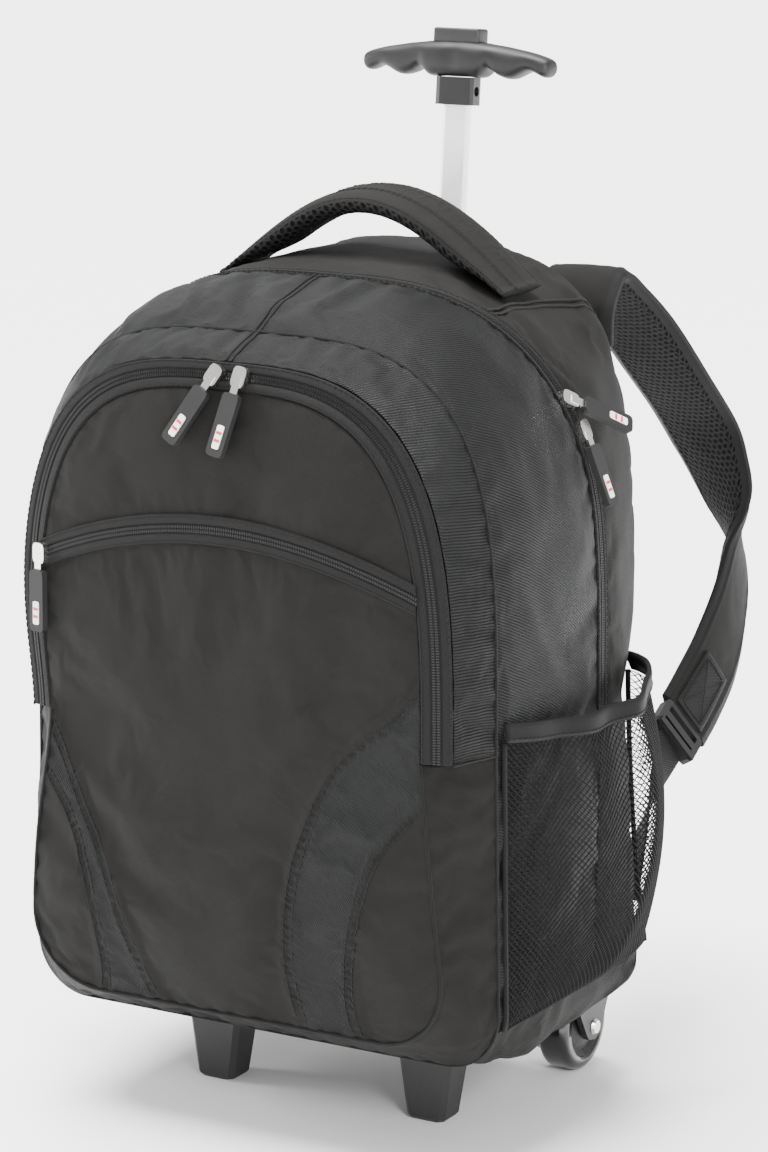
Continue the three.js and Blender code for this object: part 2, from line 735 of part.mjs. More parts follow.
function mainZip() {
  const outline = archOutline(section.zip, SHOULDER_HEIGHT + 2 * seam);
  const rows = [-1, -0.2, 0.2, 1];
  const stand = [0, -FRONT_ZIP_STAND, -FRONT_ZIP_STAND, 0];
  const reach = MAIN_ZIP_WIDTH / 2 - GAP;
  const grid = (deeper) =>
    rows.map((share, row) =>
      inset(outline, deeper ? CLOTH : stand[row], false).map(({ x, z }, column) =>
        point(x, mainZipDepth(outline[column].z) + share * reach, z),
      ),
    );
  return sheetBetween(grid(false), grid(true));
}

// Sliders and pulls, drawn flat: along y the pull hangs away, z stands off the zip

function roundedPlate(width, length, thick, corner) {
  const shape = new THREE.Shape();
  const x = width / 2;
  shape.moveTo(-x + corner, 0);
  shape.lineTo(x - corner, 0);
  shape.quadraticCurveTo(x, 0, x, corner);
  shape.lineTo(x, length - corner);
  shape.quadraticCurveTo(x, length, x - corner, length);
  shape.lineTo(-x + corner, length);
  shape.quadraticCurveTo(-x, length, -x, length - corner);
  shape.lineTo(-x, corner);
  shape.quadraticCurveTo(-x, 0, -x + corner, 0);
  return new THREE.ExtrudeGeometry(shape, { depth: thick, bevelEnabled: false, curveSegments: 2 });
}

function sliderGeometry() {
  const body = roundedPlate(SLIDER_WIDTH, SLIDER_LENGTH, SLIDER_THICK, SLIDER_WIDTH / 3);
  body.translate(0, -SLIDER_LENGTH / 2, 0);
  const tongue = new THREE.BoxGeometry(TONGUE_WIDTH, TONGUE_LENGTH + SLIDER_LENGTH / 2, TONGUE_THICK);
  tongue.translate(0, (TONGUE_LENGTH + SLIDER_LENGTH / 2) / 2, SLIDER_THICK - TONGUE_THICK / 4);
  return geometryFrom(solidFrom(body).add(solidFrom(tongue)));
}

const PULL_START = SLIDER_LENGTH / 2 + TONGUE_LENGTH / 2;
const INSET_START = PULL_START + PULL_LENGTH * 0.5;

// The rubber pull is moulded round the end of the slider's tongue and holds its inset in a recess.
function pullGeometry() {
  const plate = roundedPlate(PULL_WIDTH, PULL_LENGTH, PULL_THICK, PULL_WIDTH / 4);
  plate.translate(0, PULL_START, SLIDER_THICK - PULL_THICK / 2);
  const recess = roundedPlate(INSET_WIDTH, INSET_LENGTH, PULL_THICK, INSET_WIDTH / 4);
  const top = SLIDER_THICK + PULL_THICK / 2;
  recess.translate(0, INSET_START, top - INSET_THICK);
  const socket = new THREE.BoxGeometry(
    TONGUE_WIDTH + 2 * GAP,
    TONGUE_LENGTH + 2 * GAP,
    TONGUE_THICK + 2 * GAP,
  );
  socket.translate(0, PULL_START, SLIDER_THICK - TONGUE_THICK / 4);
  return geometryFrom(solidFrom(plate).subtract(solidFrom(recess)).subtract(solidFrom(socket)));
}

function insetGeometry() {
  const plate = roundedPlate(INSET_WIDTH - 2 * GAP, INSET_LENGTH - 2 * GAP, INSET_THICK, INSET_WIDTH / 5);
  const top = SLIDER_THICK + PULL_THICK / 2;
  plate.translate(0, INSET_START + GAP, top - INSET_THICK + GAP);
  return plate;
}

// Where each slider sits: its place on the zip, the way it looks, and the way its pull hangs.
function sliderPlaces() {
  const front = [
    { x: -0.028, hang: point(-0.5, 0, -0.86) },
    { x: 0.078, hang: point(-0.2, 0, -0.97) },
  ].map(({ x, hang }) => ({
    at: point(x * half, section.zipEdge.depth / 2, (section.face.top + section.zipEdge.top) / 2),
    look: point(0, -1, 0.24),
    hang,
    lift: FRONT_ZIP_STAND + 3 * GAP,
  }));
  const faceEnd = -0.965 * section.face.width;
  const face = {
    at: point(faceEnd, -0.5, faceZipLine(faceEnd)),
    look: point(-0.18, -1, 0),
    hang: point(-0.02, -0.03, -1),
    lift: FRONT_ZIP_STAND,
  };
  const side = [
    { angle: 0.63, look: point(0.86, -0.2, 0.47), hang: point(0, 0.8, -0.6) },
    { angle: 0.52, look: point(0.93, -0.1, 0.32), hang: point(0, 0.1, -0.98) },
  ].map(({ angle, look, hang }) => {
    const { x, z } = archPlace(section.zip, angle);
    return { at: point(x, mainZipDepth(z), z), look, hang, lift: FRONT_ZIP_STAND + 3 * GAP };
  });
  return [...front, face, ...side];
}

// The turn and place of a slider and what hangs on it.
function sliderFrame({ at, look, hang, lift }) {
  const outwards = look.clone().normalize();
  const down = hang.clone().addScaledVector(outwards, -hang.dot(outwards)).normalize();
  const across = new THREE.Vector3().crossVectors(down, outwards);
  const place = at.clone().addScaledVector(outwards, lift);
  return new THREE.Matrix4().makeBasis(across, down, outwards).setPosition(place);
}

// Soft straps

// A ring of a flat strap: a rounded rectangle of a width and a thickness, as points across and up.
function strapRing(width, thick) {
  const x = width / 2;
  const z = thick / 2;
  const side = Math.min(z, x) * 0.7;
  return [
    [x, -z * 0.45],
    [x, z * 0.45],
    [x - side, z],
    [-x + side, z],
    [-x, z * 0.45],
    [-x, -z * 0.45],
    [-x + side, -z],
    [x - side, -z],
  ];
}

// A strap along points, each with the way its outer face looks, a width and a thickness.
function strapAlong(stations) {
  const places = stations.map(({ place }) => place);
  const rings = stations.map(({ place, look, width, thick }, index) => {
    const before = places[Math.max(index - 1, 0)];
    const after = places[Math.min(index + 1, places.length - 1)];
    const along = after.clone().sub(before).normalize();
    const up = look.clone().addScaledVector(along, -look.dot(along)).normalize();
    const across = new THREE.Vector3().crossVectors(along, up);
    return strapRing(width, thick).map(([x, z]) =>
      place.clone().addScaledVector(across, x).addScaledVector(up, z),
    );
  });
  return loft(rings);
}

// The height of the bag's top at a place, from the sections before and behind it.
function topHeight(x, y) {
  const crossing = (part, depth) => {
    const share = Math.min(Math.abs(x) / part.width, 1);
    const z = SHOULDER_HEIGHT + (part.top - SHOULDER_HEIGHT) * (1 - share ** part.round) ** (1 / part.round);
    return { z, y: depth(z) };
  };
  const places = [
    crossing(section.zip, mainZipDepth),
    crossing(section.rear, (z) => depthAt(section.rear, z)),
    crossing(section.edge, (z) => depthAt(section.edge, z)),
    crossing(section.turn, (z) => depthAt(section.turn, z)),
  ];
  const index = THREE.MathUtils.clamp(places.findIndex((place) => place.y > y), 1, places.length - 1);
  const before = places[index - 1];
  const after = places[index];
  return lerp(before.z, after.z, THREE.MathUtils.clamp((y - before.y) / (after.y - before.y), 0, 1));
}

// The carry handle arches over the top and lies flat on it at both ends.
function carryHandle() {
  const steps = 20;
  const stations = [];
  for (let step = 0; step <= steps; step++) {
    const share = (2 * step) / steps - 1;
    const x = (share * CARRY_SPAN) / 2;
    const front = topHeight(x, CARRY_DEPTH - CARRY_WIDTH / 2);
    const middle = topHeight(x, CARRY_DEPTH);
    const back = topHeight(x, CARRY_DEPTH + CARRY_WIDTH / 2);
    const free = THREE.MathUtils.smoothstep(1 - Math.abs(share), 0.04, 0.4);
    const thick = lerp(CARRY_TAB_THICK, CARRY_THICK, free);
    const tilt = lerp((back - front) / CARRY_WIDTH, CARRY_TILT, free);
    const resting = Math.max(middle, (front + back) / 2) + 4 * GAP + thick / 2;
    const ends = topHeight(CARRY_SPAN / 2, CARRY_DEPTH) + CARRY_TAB_THICK;
    const arched = lerp(ends, CARRY_CROWN, Math.cos((share * Math.PI) / 2)) - thick / 2;
    stations.push({
      place: point(x, CARRY_DEPTH, Math.max(resting, arched)),
      look: point(0, -tilt, 1),
      width: lerp(CARRY_WIDTH * 0.94, CARRY_WIDTH, free),
      thick,
    });
  }
  return strapAlong(stations);
}

// A shoulder strap's stations, read from its run and mirrored to the left by side -1.
function strapStations(side, steps) {
  const backAtTop = depthAt(section.back, STRAP_TOP_HEIGHT);
  const stations = [];
  for (let step = 0; step <= steps; step++) {
    const share = step / steps;
    const read = (column) => columnAt(STRAP_RUN, column, share);
    stations.push({
      place: point(
        side * read("x") * half,
        backAtTop + STRAP_THICK / 2 + BACK_CROWN + GAP + read("y") * STRAP_REACH,
        read("z") * STRAP_TOP_HEIGHT,
      ),
      look: point(side * read("fx"), read("fy"), read("fz")),
      width: lerp(STRAP_WIDTH, STRAP_END_WIDTH, read("slim")),
      thick: lerp(STRAP_THICK, STRAP_THICK * 0.6, read("slim")),
    });
  }
  return stations;
}

// The frame of the buckle at a strap's lower end: across it, along it, and out of its face.
function buckleFrame(side) {
  const stations = strapStations(side, STRAP_STEPS);
  const last = stations[stations.length - 1];
  const along = last.place.clone().sub(stations[stations.length - 2].place).normalize();
  const up = last.look.clone().addScaledVector(along, -last.look.dot(along)).normalize();
  const across = new THREE.Vector3().crossVectors(along, up);
  const place = last.place.clone().addScaledVector(along, GAP);
  return new THREE.Matrix4().makeBasis(across, along, up).setPosition(place);
}

// A ladder buckle: a frame with two slots and a raised lip at its far end.
function buckleGeometry() {
  const frame = roundedPlate(BUCKLE_WIDTH, BUCKLE_LENGTH, BUCKLE_THICK, BUCKLE_WIDTH / 9);
  let solid = solidFrom(frame);
  const slot = { width: WEBBING_WIDTH + 2, length: BUCKLE_LENGTH * 0.2 };
  for (const share of [0.16, 0.58]) {
    const hole = new THREE.BoxGeometry(slot.width, slot.length, 3 * BUCKLE_THICK);
    hole.translate(0, BUCKLE_LENGTH * share + slot.length / 2, BUCKLE_THICK / 2);
    solid = solid.subtract(solidFrom(hole));
  }
  const lip = new THREE.BoxGeometry(BUCKLE_WIDTH * 0.9, BUCKLE_LENGTH * 0.18, BUCKLE_THICK * 0.6);
  lip.translate(0, BUCKLE_LENGTH * 0.86, BUCKLE_THICK);
  solid = solid.add(solidFrom(lip));
  const geometry = geometryFrom(solid);
  geometry.translate(0, 0, -BUCKLE_THICK / 2);
  return geometry;
}

// Webbing from the buckle forward and down to the bag's rear corner, turning over on its way.
function webbing(side) {
  const frame = buckleFrame(side);
  const start = point(0, BUCKLE_LENGTH + WEBBING_THICK, 0).applyMatrix4(frame);
  const startLook = point(0, 0, 1).transformDirection(frame);
  const height = BASE_SEAM_HEIGHT + 0.12 * drop;
  const corner = [section.turn, section.back].map((part) =>
    point(side * sideWidth(part, height), depthAt(part, height), height),
  );
  const endLook = point(side * (corner[1].y - corner[0].y), Math.abs(corner[0].x - corner[1].x), 0).normalize();
  const end = corner[0].clone().lerp(corner[1], 0.6).addScaledVector(endLook, WEBBING_THICK / 2 + 3 * GAP);
  const middle = point(0, 2.2 * BUCKLE_LENGTH, 0).applyMatrix4(frame);
  const curve = new THREE.QuadraticBezierCurve3(start, middle, end);
  const steps = 8;
  const stations = curve.getPoints(steps).map((place, step) => ({
    place,
    look: startLook.clone().lerp(endLook, step / steps),
    width: WEBBING_WIDTH,
    thick: WEBBING_THICK,
  }));
  return strapAlong(stations);
}

// Net side pockets

// The bag's side at a depth and a height: half its width there.
function sideAt(y, z) {
  const parts = [section.cornerSeam, section.middle, section.zip, section.rear, section.edge, section.turn];
  const depths = parts.map((part) => (part === section.zip ? mainZipDepth(z) : depthAt(part, z)));
  const index = THREE.MathUtils.clamp(depths.findIndex((depth) => depth > y), 1, parts.length - 1);
  const share = THREE.MathUtils.clamp((y - depths[index - 1]) / (depths[index] - depths[index - 1]), 0, 1);
  return lerp(sideWidth(parts[index - 1], z), sideWidth(parts[index], z), share);
}

// A place on the pocket: across from front to back and up from its base seam, both as shares.
function pocketPlace(across, up, deeper) {
  const sag = 0.05 * Math.sin(Math.PI * across) * up;
  const z = lerp(BASE_SEAM_HEIGHT + 2 * GAP, POCKET_TOP, up - sag);
  const y = lerp(POCKET_FRONT_DEPTH, POCKET_BACK_DEPTH, across);
  const swell = Math.sin(Math.PI * across ** 1.7) ** 0.55 * Math.sin(Math.PI * (0.01 + 0.84 * up)) ** 0.7;
  const gather = 0.09 * Math.sin(across * Math.PI * 7) * Math.sin(Math.PI * across);
  const stand = POCKET_BULGE * Math.max(0, swell + gather * up);
  const rest = sideAt(y, z) + 2 * GAP + 2 * across ** 3;
  return { x: rest + stand + (deeper ? 0 : POCKET_NET), y, z };
}

// The net: a sheet of cells, each pierced by a diamond.
function netPocket(side) {
  const across = POCKET_HOLES_ACROSS;
  const up = POCKET_HOLES_UP;
  const vertices = [];
  const triangles = [];
  const add = (s, t, deeper) => {
    const { x, y, z } = pocketPlace(s, t, deeper);
    return vertices.push(point(side * x, y, z)) - 1;
  };
  const corners = [0, 1].map((deeper) =>
    Array.from({ length: up + 1 }, (_, row) =>
      Array.from({ length: across + 1 }, (_, column) => add(column / across, row / up, deeper)),
    ),
  );
  const reach = POCKET_HOLE_SHARE / 2;
  for (let row = 0; row < up; row++) {
    for (let column = 0; column < across; column++) {
      const centre = { s: column + 0.5, t: row + 0.5 };
      const diamond = [0, 1].map((deeper) =>
        [[0, -reach], [reach, 0], [0, reach], [-reach, 0]].map(([s, t]) =>
          add((centre.s + s) / across, (centre.t + t) / up, deeper),
        ),
      );
      for (const layer of [0, 1]) {
        const grid = corners[layer];
        const around = [grid[row][column], grid[row][column + 1], grid[row + 1][column + 1], grid[row + 1][column]];
        const hole = diamond[layer];
        for (let edge = 0; edge < 4; edge++) {
          const next = (edge + 1) % 4;
          const first = [around[edge], around[next], hole[edge]];
          const second = [around[next], hole[next], hole[edge]];
          triangles.push(...(layer ? [first.reverse(), second.reverse()] : [first, second]));
        }
      }
      for (let edge = 0; edge < 4; edge++) {
        const next = (edge + 1) % 4;
        const [front, back] = diamond;
        triangles.push([front[edge], front[next], back[next]], [front[edge], back[next], back[edge]]);
      }
    }
  }
  const [front, back] = corners;
  const rim = (a, b, c, d) => triangles.push([a, c, b], [b, c, d]);
  for (let column = 0; column < across; column++) {
    rim(front[0][column], front[0][column + 1], back[0][column], back[0][column + 1]);
    rim(front[up][column + 1], front[up][column], back[up][column + 1], back[up][column]);
  }
  for (let row = 0; row < up; row++) {
    rim(front[row + 1][0], front[row][0], back[row + 1][0], back[row][0]);
    rim(front[row][across], front[row + 1][across], back[row][across], back[row + 1][across]);
  }
  return closedGeometry(vertices, triangles);
}

// The bound edge along the pocket's open top.
function pocketBand(side) {
  const steps = 20;
  const grid = (outward) =>
    [0, 1].map((upper) =>
      Array.from({ length: steps + 1 }, (_, step) => {
        const { x, y, z } = pocketPlace(step / steps, 1, true);
        const push = outward ? POCKET_BAND_THICK : 0;
        return point(side * (x + push), y, z + GAP + upper * POCKET_BAND_HEIGHT);
      }),
    );
  return sheetBetween(grid(true), grid(false));
}

// Pole, guide, grip and button

// Moves a geometry made round the z axis on to the leaning pole, its middle at a height.
function placeOnPole(geometry, height) {
  geometry.applyMatrix4(poleMatrix(height));
}

// The pole leans as the back does and runs inside it, with room for its guide and the back's pad.
function poleMatrix(height) {
  const guideHalf = POLE_THICK / 2 + POLE_CLEARANCE + GUIDE_WALL;
  const depth = depthAt(section.back, height) - BACK_PAD - guideHalf - 3 * GAP;
  const along = point(0, BACK_SLOPE, 1).normalize();
  const across = point(1, 0, 0);
  const deep = new THREE.Vector3().crossVectors(along, across);
  return new THREE.Matrix4().makeBasis(across, deep, along).setPosition(point(0, depth, height));
}

// A bar of rounded rectangular section standing on the z axis from low to high.
function bar(width, thick, corner, low, high) {
  const geometry = roundedPlate(width, thick, high - low, corner);
  geometry.translate(0, -thick / 2, low);
  return geometry;
}

const COLLAR_TOP = GRIP_HEIGHT + GRIP_PROFILE[8].foot * GRIP_DEPTH - GAP;
const COLLAR_FOOT = COLLAR_TOP - COLLAR_HEIGHT;
const POLE_FOOT = COLLAR_TOP - POLE_LENGTH;

function pole() {
  const end = COLLAR_TOP - GRIP_HEIGHT - GAP;
  const geometry = bar(POLE_WIDTH, POLE_THICK, POLE_CORNER, POLE_FOOT - GRIP_HEIGHT, end);
  placeOnPole(geometry, GRIP_HEIGHT);
  return geometry;
}

function poleGuide() {
  const low = lerp(section.turn.base, section.back.base, 0.5) + CLOTH + 2 * GAP;
  const room = 2 * POLE_CLEARANCE;
  const size = room + 2 * GUIDE_WALL;
  const high = GUIDE_TOP - GRIP_HEIGHT;
  const outside = bar(POLE_WIDTH + size, POLE_THICK + size, POLE_CORNER, low - GRIP_HEIGHT, high);
  const inside = bar(POLE_WIDTH + room, POLE_THICK + room, POLE_CORNER, -GRIP_HEIGHT, 0);
  const geometry = geometryFrom(solidFrom(outside).subtract(solidFrom(inside)));
  placeOnPole(geometry, GRIP_HEIGHT);
  return geometry;
}

function collar() {
  const low = COLLAR_FOOT - GRIP_HEIGHT;
  const high = COLLAR_TOP - GRIP_HEIGHT;
  const outside = bar(COLLAR_WIDTH, COLLAR_DEPTH, COLLAR_DEPTH / 4, low, high);
  const inside = bar(POLE_WIDTH + 2 * GAP, POLE_THICK + 2 * GAP, POLE_CORNER, low - 1, high + 1);
  const hole = new THREE.CylinderGeometry(COLLAR_HOLE / 2, COLLAR_HOLE / 2, COLLAR_WIDTH, 12);
  hole.rotateZ(Math.PI / 2);
  hole.translate(COLLAR_WIDTH / 2, 0, (low + high) / 2);
  const geometry = geometryFrom(
    solidFrom(outside).subtract(solidFrom(inside)).subtract(solidFrom(hole)),
  );
  placeOnPole(geometry, GRIP_HEIGHT);
  return geometry;
}

// The T grip: wings with finger scallops, lofted across, with a well in its top for the button.
function grip() {
  const sides = 12;
  const left = GRIP_PROFILE.map((row) => ({ ...row, x: -row.x }));
  const right = GRIP_PROFILE.slice(0, -1).reverse();
  const rings = [...left, ...right].map(({ x, top, foot, deep }) => {
    const middle = ((top + foot) / 2) * GRIP_DEPTH;
    const tall = ((top - foot) / 2) * GRIP_DEPTH;
    return Array.from({ length: sides }, (_, step) => {
      const angle = (2 * Math.PI * (step + 0.5)) / sides;
      const swell = (value) => Math.sign(value) * Math.abs(value) ** 0.75;
      return point(
        (x * GRIP_WIDTH) / 2,
        (swell(Math.cos(angle)) * deep * GRIP_DEPTH) / 2,
        middle + swell(Math.sin(angle)) * tall,
      );
    });
  });
  const crown = GRIP_PROFILE[9].top * GRIP_DEPTH;
  const room = 2 * GAP;
  const floor = crown - BUTTON_TRAVEL - 2;
  const well = bar(BUTTON_WIDTH + room, BUTTON_DEPTH + room, BUTTON_DEPTH / 6, floor, crown + BUTTON_TRAVEL);
  const geometry = geometryFrom(solidFrom(loft(rings)).subtract(solidFrom(well)));
  placeOnPole(geometry, GRIP_HEIGHT);
  return geometry;
}

function button() {
  const crown = GRIP_PROFILE[9].top * GRIP_DEPTH;
  const low = crown - 2 + GAP;
  const geometry = bar(BUTTON_WIDTH, BUTTON_DEPTH, BUTTON_DEPTH / 6, low, crown + BUTTON_STAND);
  placeOnPole(geometry, GRIP_HEIGHT);
  return geometry;
}

// Feet, wheels and their housings

function foot(side) {
  const top = BAG_BASE - GAP;
  const levels = [
    { z: 0, grow: 0, trim: 1.5 },
    { z: 2, grow: 0.03, trim: 0 },
    { z: top * 0.65, grow: 0.62, trim: 0 },
    { z: top, grow: 1, trim: 0 },
  ];
  const rings = levels.map(({ z, grow, trim }) => {
    const x = lerp(FOOT_TOE_WIDTH, FOOT_TOP_WIDTH, grow) / 2 - trim;
    const deep = lerp(FOOT_TOE_DEPTH, FOOT_TOP_DEPTH, grow) - trim;
    const cut = 3;
    const front = FOOT_FRONT - grow * 1.5 + trim;
    const outline = [
      [-x + cut, 0], [x - cut, 0], [x, cut], [x, deep - cut],
      [x - cut, deep], [-x + cut, deep], [-x, deep - cut], [-x, cut],
    ];
    return outline.map(([across, y]) => point((side * FOOT_SPREAD) / 2 + across, front + y, z));
  });
  return loft(rings);
}

// A wheel is a tyre on a spoked hub. Both are turned round the x axis.
function turned(profile) {
  const points = profile.map(([radius, x]) => new THREE.Vector2(radius, x)).reverse();
  const geometry = new THREE.LatheGeometry([...points, points[0]], TURN_STEPS);
  geometry.rotateZ(-Math.PI / 2);
  return geometryFrom(solidFrom(geometry));
}

function tyre() {
  const outer = WHEEL_RADIUS;
  const inner = WHEEL_RADIUS - TYRE_THICK;
  const x = TYRE_WIDTH / 2;
  return turned([
    [inner, -x], [inner, x], [outer - 3, x], [outer, x - 5],
    [outer, 5 - x], [outer - 3, -x],
  ]);
}

function hub() {
  const outer = WHEEL_RADIUS - TYRE_THICK - GAP;
  const inner = AXLE_RADIUS + AXLE_CLEARANCE;
  const x = TYRE_WIDTH / 2;
  return turned([
    [inner, -x - 0.6], [inner, x + 0.6], [inner + 4, x + 0.6], [outer - 3, x - 3],
    [outer, x - 0.5], [outer, 0.5 - x], [outer - 3, 3 - x], [inner + 4, -x - 0.6],
  ]);
}

const CHEEK_ROOM = TYRE_WIDTH / 2 + WHEEL_SIDE_CLEARANCE;

// The axle: a plain pin with a screw head outside the outer cheek.
function axle() {
  const reach = CHEEK_ROOM + CHEEK_THICK;
  const length = 2 * reach + GAP + AXLE_HEAD_THICK / 2;
  const pin = new THREE.CylinderGeometry(AXLE_RADIUS, AXLE_RADIUS, length, TURN_STEPS);
  pin.translate(0, reach - length / 2, 0);
  const head = new THREE.CylinderGeometry(AXLE_HEAD_RADIUS, AXLE_HEAD_RADIUS * 0.8, AXLE_HEAD_THICK, TURN_STEPS);
  head.translate(0, -reach - GAP - AXLE_HEAD_THICK / 2, 0);
  const geometry = geometryFrom(solidFrom(pin).add(solidFrom(head)));
  geometry.rotateZ(Math.PI / 2);
  return geometry;
}

// A cheek's outline round the axle, y back and z up, in shares of the wheel's radius.
const CHEEK_OUTER = [
  { y: -0.98, z: 1.06 }, { y: -0.95, z: 0.9 }, { y: -0.36, z: -0.1 }, { y: -0.25, z: -0.24 }, { y: 0.05, z: -0.3 },
  { y: 0.28, z: -0.2 }, { y: 0.38, z: 0 }, { y: 0.68, z: 0.6 }, { y: 0.84, z: 1.16 }, { y: 0.3, z: 1.2 },
];
const CHEEK_INNER = [
  { y: -0.98, z: 1.06 }, { y: -0.86, z: 0.1 }, { y: -0.66, z: -0.42 }, { y: -0.25, z: -0.66 },
  { y: 0.2, z: -0.66 }, { y: 0.58, z: -0.4 }, { y: 0.74, z: 0.1 }, { y: 0.84, z: 1.16 }, { y: 0.3, z: 1.2 },
];
const HOUSING_ROOF = [
  { y: -0.98, z: 1.08 }, { y: -0.68, z: 1.1 }, { y: -0.1, z: 1.16 }, { y: 0.3, z: 1.23 }, { y: 0.84, z: 1.19 },
  { y: 0.9, z: 0.9 }, { y: 0.8, z: 0.84 }, { y: 0.68, z: 1.06 }, { y: 0.3, z: 1.08 }, { y: -0.98, z: 1.03 },
];

function plateAcross(rows, from, to) {
  const shape = new THREE.Shape(rows.map(({ y, z }) => new THREE.Vector2(y * WHEEL_RADIUS, z * WHEEL_RADIUS)));
  const geometry = new THREE.ExtrudeGeometry(shape, { depth: to - from, bevelEnabled: false });
  geometry.applyMatrix4(new THREE.Matrix4().makeBasis(point(0, 1, 0), point(0, 0, 1), point(1, 0, 0)));
  geometry.translate(from, 0, 0);
  return solidFrom(geometry);
}

function wheelHousing() {
  const reach = CHEEK_ROOM + CHEEK_THICK;
  const pin = new THREE.CylinderGeometry(AXLE_RADIUS + GAP, AXLE_RADIUS + GAP, 3 * reach, TURN_STEPS);
  pin.rotateZ(Math.PI / 2);
  const solid = plateAcross(CHEEK_OUTER, CHEEK_ROOM, reach)
    .add(plateAcross(CHEEK_INNER, -reach, -CHEEK_ROOM))
    .add(plateAcross(HOUSING_ROOF, -reach, reach))
    .subtract(solidFrom(pin));
  return geometryFrom(solid);
}

// Turns a wheel part made for the right side to its place, mirrored for the left.
function wheelPlace(geometry, side) {
  const placed = geometry.clone();
  if (side < 0) placed.rotateZ(Math.PI);
  placed.translate((side * WHEEL_SPREAD) / 2, AXLE_DEPTH, WHEEL_RADIUS);
  return placed;
}

function mirroredHousing(side) {
  const geometry = wheelHousing();
  if (side < 0) {
    geometry.scale(-1, 1, 1);
    geometry.index.array.reverse();
    geometry.computeVertexNormals();
  }
  geometry.translate((side * WHEEL_SPREAD) / 2, AXLE_DEPTH, WHEEL_RADIUS);
  return geometry;
}

// Materials, one of each finish

const finish = (color, roughness, metalness = 0) => ({ color, roughness, metalness });
const FINISHES = {
  polyester: finish(0x2d2b2b, 0.85),
  twill: finish(0x303232, 0.7),
  tape: finish(0x2a2b2b, 0.7),
  net: finish(0x1c1d1d, 0.8),
  plastic: finish(0x232424, 0.5),
  rubber: finish(0x333434, 0.7),
  aluminium: finish(0xf0f0f0, 0.3, 1),
  steel: finish(0xc8c4ba, 0.25, 1),
  enamel: finish(0xe8e4e2, 0.4),
};

const bag = new THREE.Group();

function addPiece(name, geometry, finishName) {
  const mesh = new THREE.Mesh(geometry, new THREE.MeshStandardMaterial(FINISHES[finishName]));
  mesh.name = name;
  bag.add(mesh);
  return mesh;
}

function addBody() {
  addPiece("main_gusset", mainGusset(), "twill");
  addPiece("rear_body", rearBody(), "polyester");
  addPiece("base_panel", basePanel(), "polyester");
  addPiece("front_gusset", frontGusset(), "twill");
  addPiece("lower_gusset", lowerGusset(), "polyester");
  addPiece("divider_panel", dividerPanel(), "polyester");
  addPiece("back_panel", backPanel(), "polyester");
  for (const [name, solid] of Object.entries(facePieces())) {
    const cloth = name.startsWith("curved") ? "twill" : name === "face_zip" ? "tape" : "polyester";
    addPiece(name, geometryFrom(solid), cloth);
  }
  addPiece("front_zip", frontZip(), "tape");
  addPiece("main_zip", mainZip(), "tape");
}

function addSliders() {
  sliderPlaces().forEach((place, index) => {
    const frame = sliderFrame(place);
    const number = index + 1;
    addPiece(`slider_${number}`, sliderGeometry(), "steel").applyMatrix4(frame);
    addPiece(`pull_${number}`, pullGeometry(), "rubber").applyMatrix4(frame);
    addPiece(`pull_inset_${number}`, insetGeometry(), "enamel").applyMatrix4(frame);
  });
}

function addPole() {
  addPiece("pole", pole(), "aluminium");
  addPiece("pole_guide", poleGuide(), "aluminium");
  addPiece("collar", collar(), "plastic");
  addPiece("grip", grip(), "plastic");
  addPiece("button", button(), "plastic");
}

function addSide(name, side) {
  addPiece(`strap_${name}`, strapAlong(strapStations(side, STRAP_STEPS)), "polyester");
  const buckle = addPiece(`buckle_${name}`, buckleGeometry(), "plastic");
  buckle.applyMatrix4(buckleFrame(side));
  addPiece(`webbing_${name}`, webbing(side), "tape");
  addPiece(`net_pocket_${name}`, netPocket(side), "net");
  addPiece(`pocket_band_${name}`, pocketBand(side), "tape");
  addPiece(`foot_${name}`, foot(side), "plastic");
  addPiece(`wheel_housing_${name}`, mirroredHousing(side), "plastic");
  addPiece(`tyre_${name}`, wheelPlace(tyre(), side), "rubber");
  addPiece(`hub_${name}`, wheelPlace(hub(), side), "plastic");
  addPiece(`axle_${name}`, wheelPlace(axle(), side), "steel");
}

addBody();
addPiece("carry_handle", carryHandle(), "polyester");
addSliders();
addPole();
addSide("left", -1);
addSide("right", 1);

// The origin is the middle of the footprint of the whole, on the floor.
bag.updateMatrixWorld(true);
const bounds = new THREE.Box3().setFromObject(bag);
const centre = bounds.getCenter(new THREE.Vector3());
bag.position.set(-centre.x, -centre.y, -bounds.min.z);

export default bag;
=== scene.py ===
"""Dresses the wheeled backpack over its CAD frame: cloth, seams, zips, straps, nets and hard parts."""

import logging
import math
from dataclasses import dataclass, field
from enum import Enum
from typing import Callable, Sequence

import bmesh
import bpy
from mathutils import Matrix, Vector, noise
from mathutils.bvhtree import BVHTree


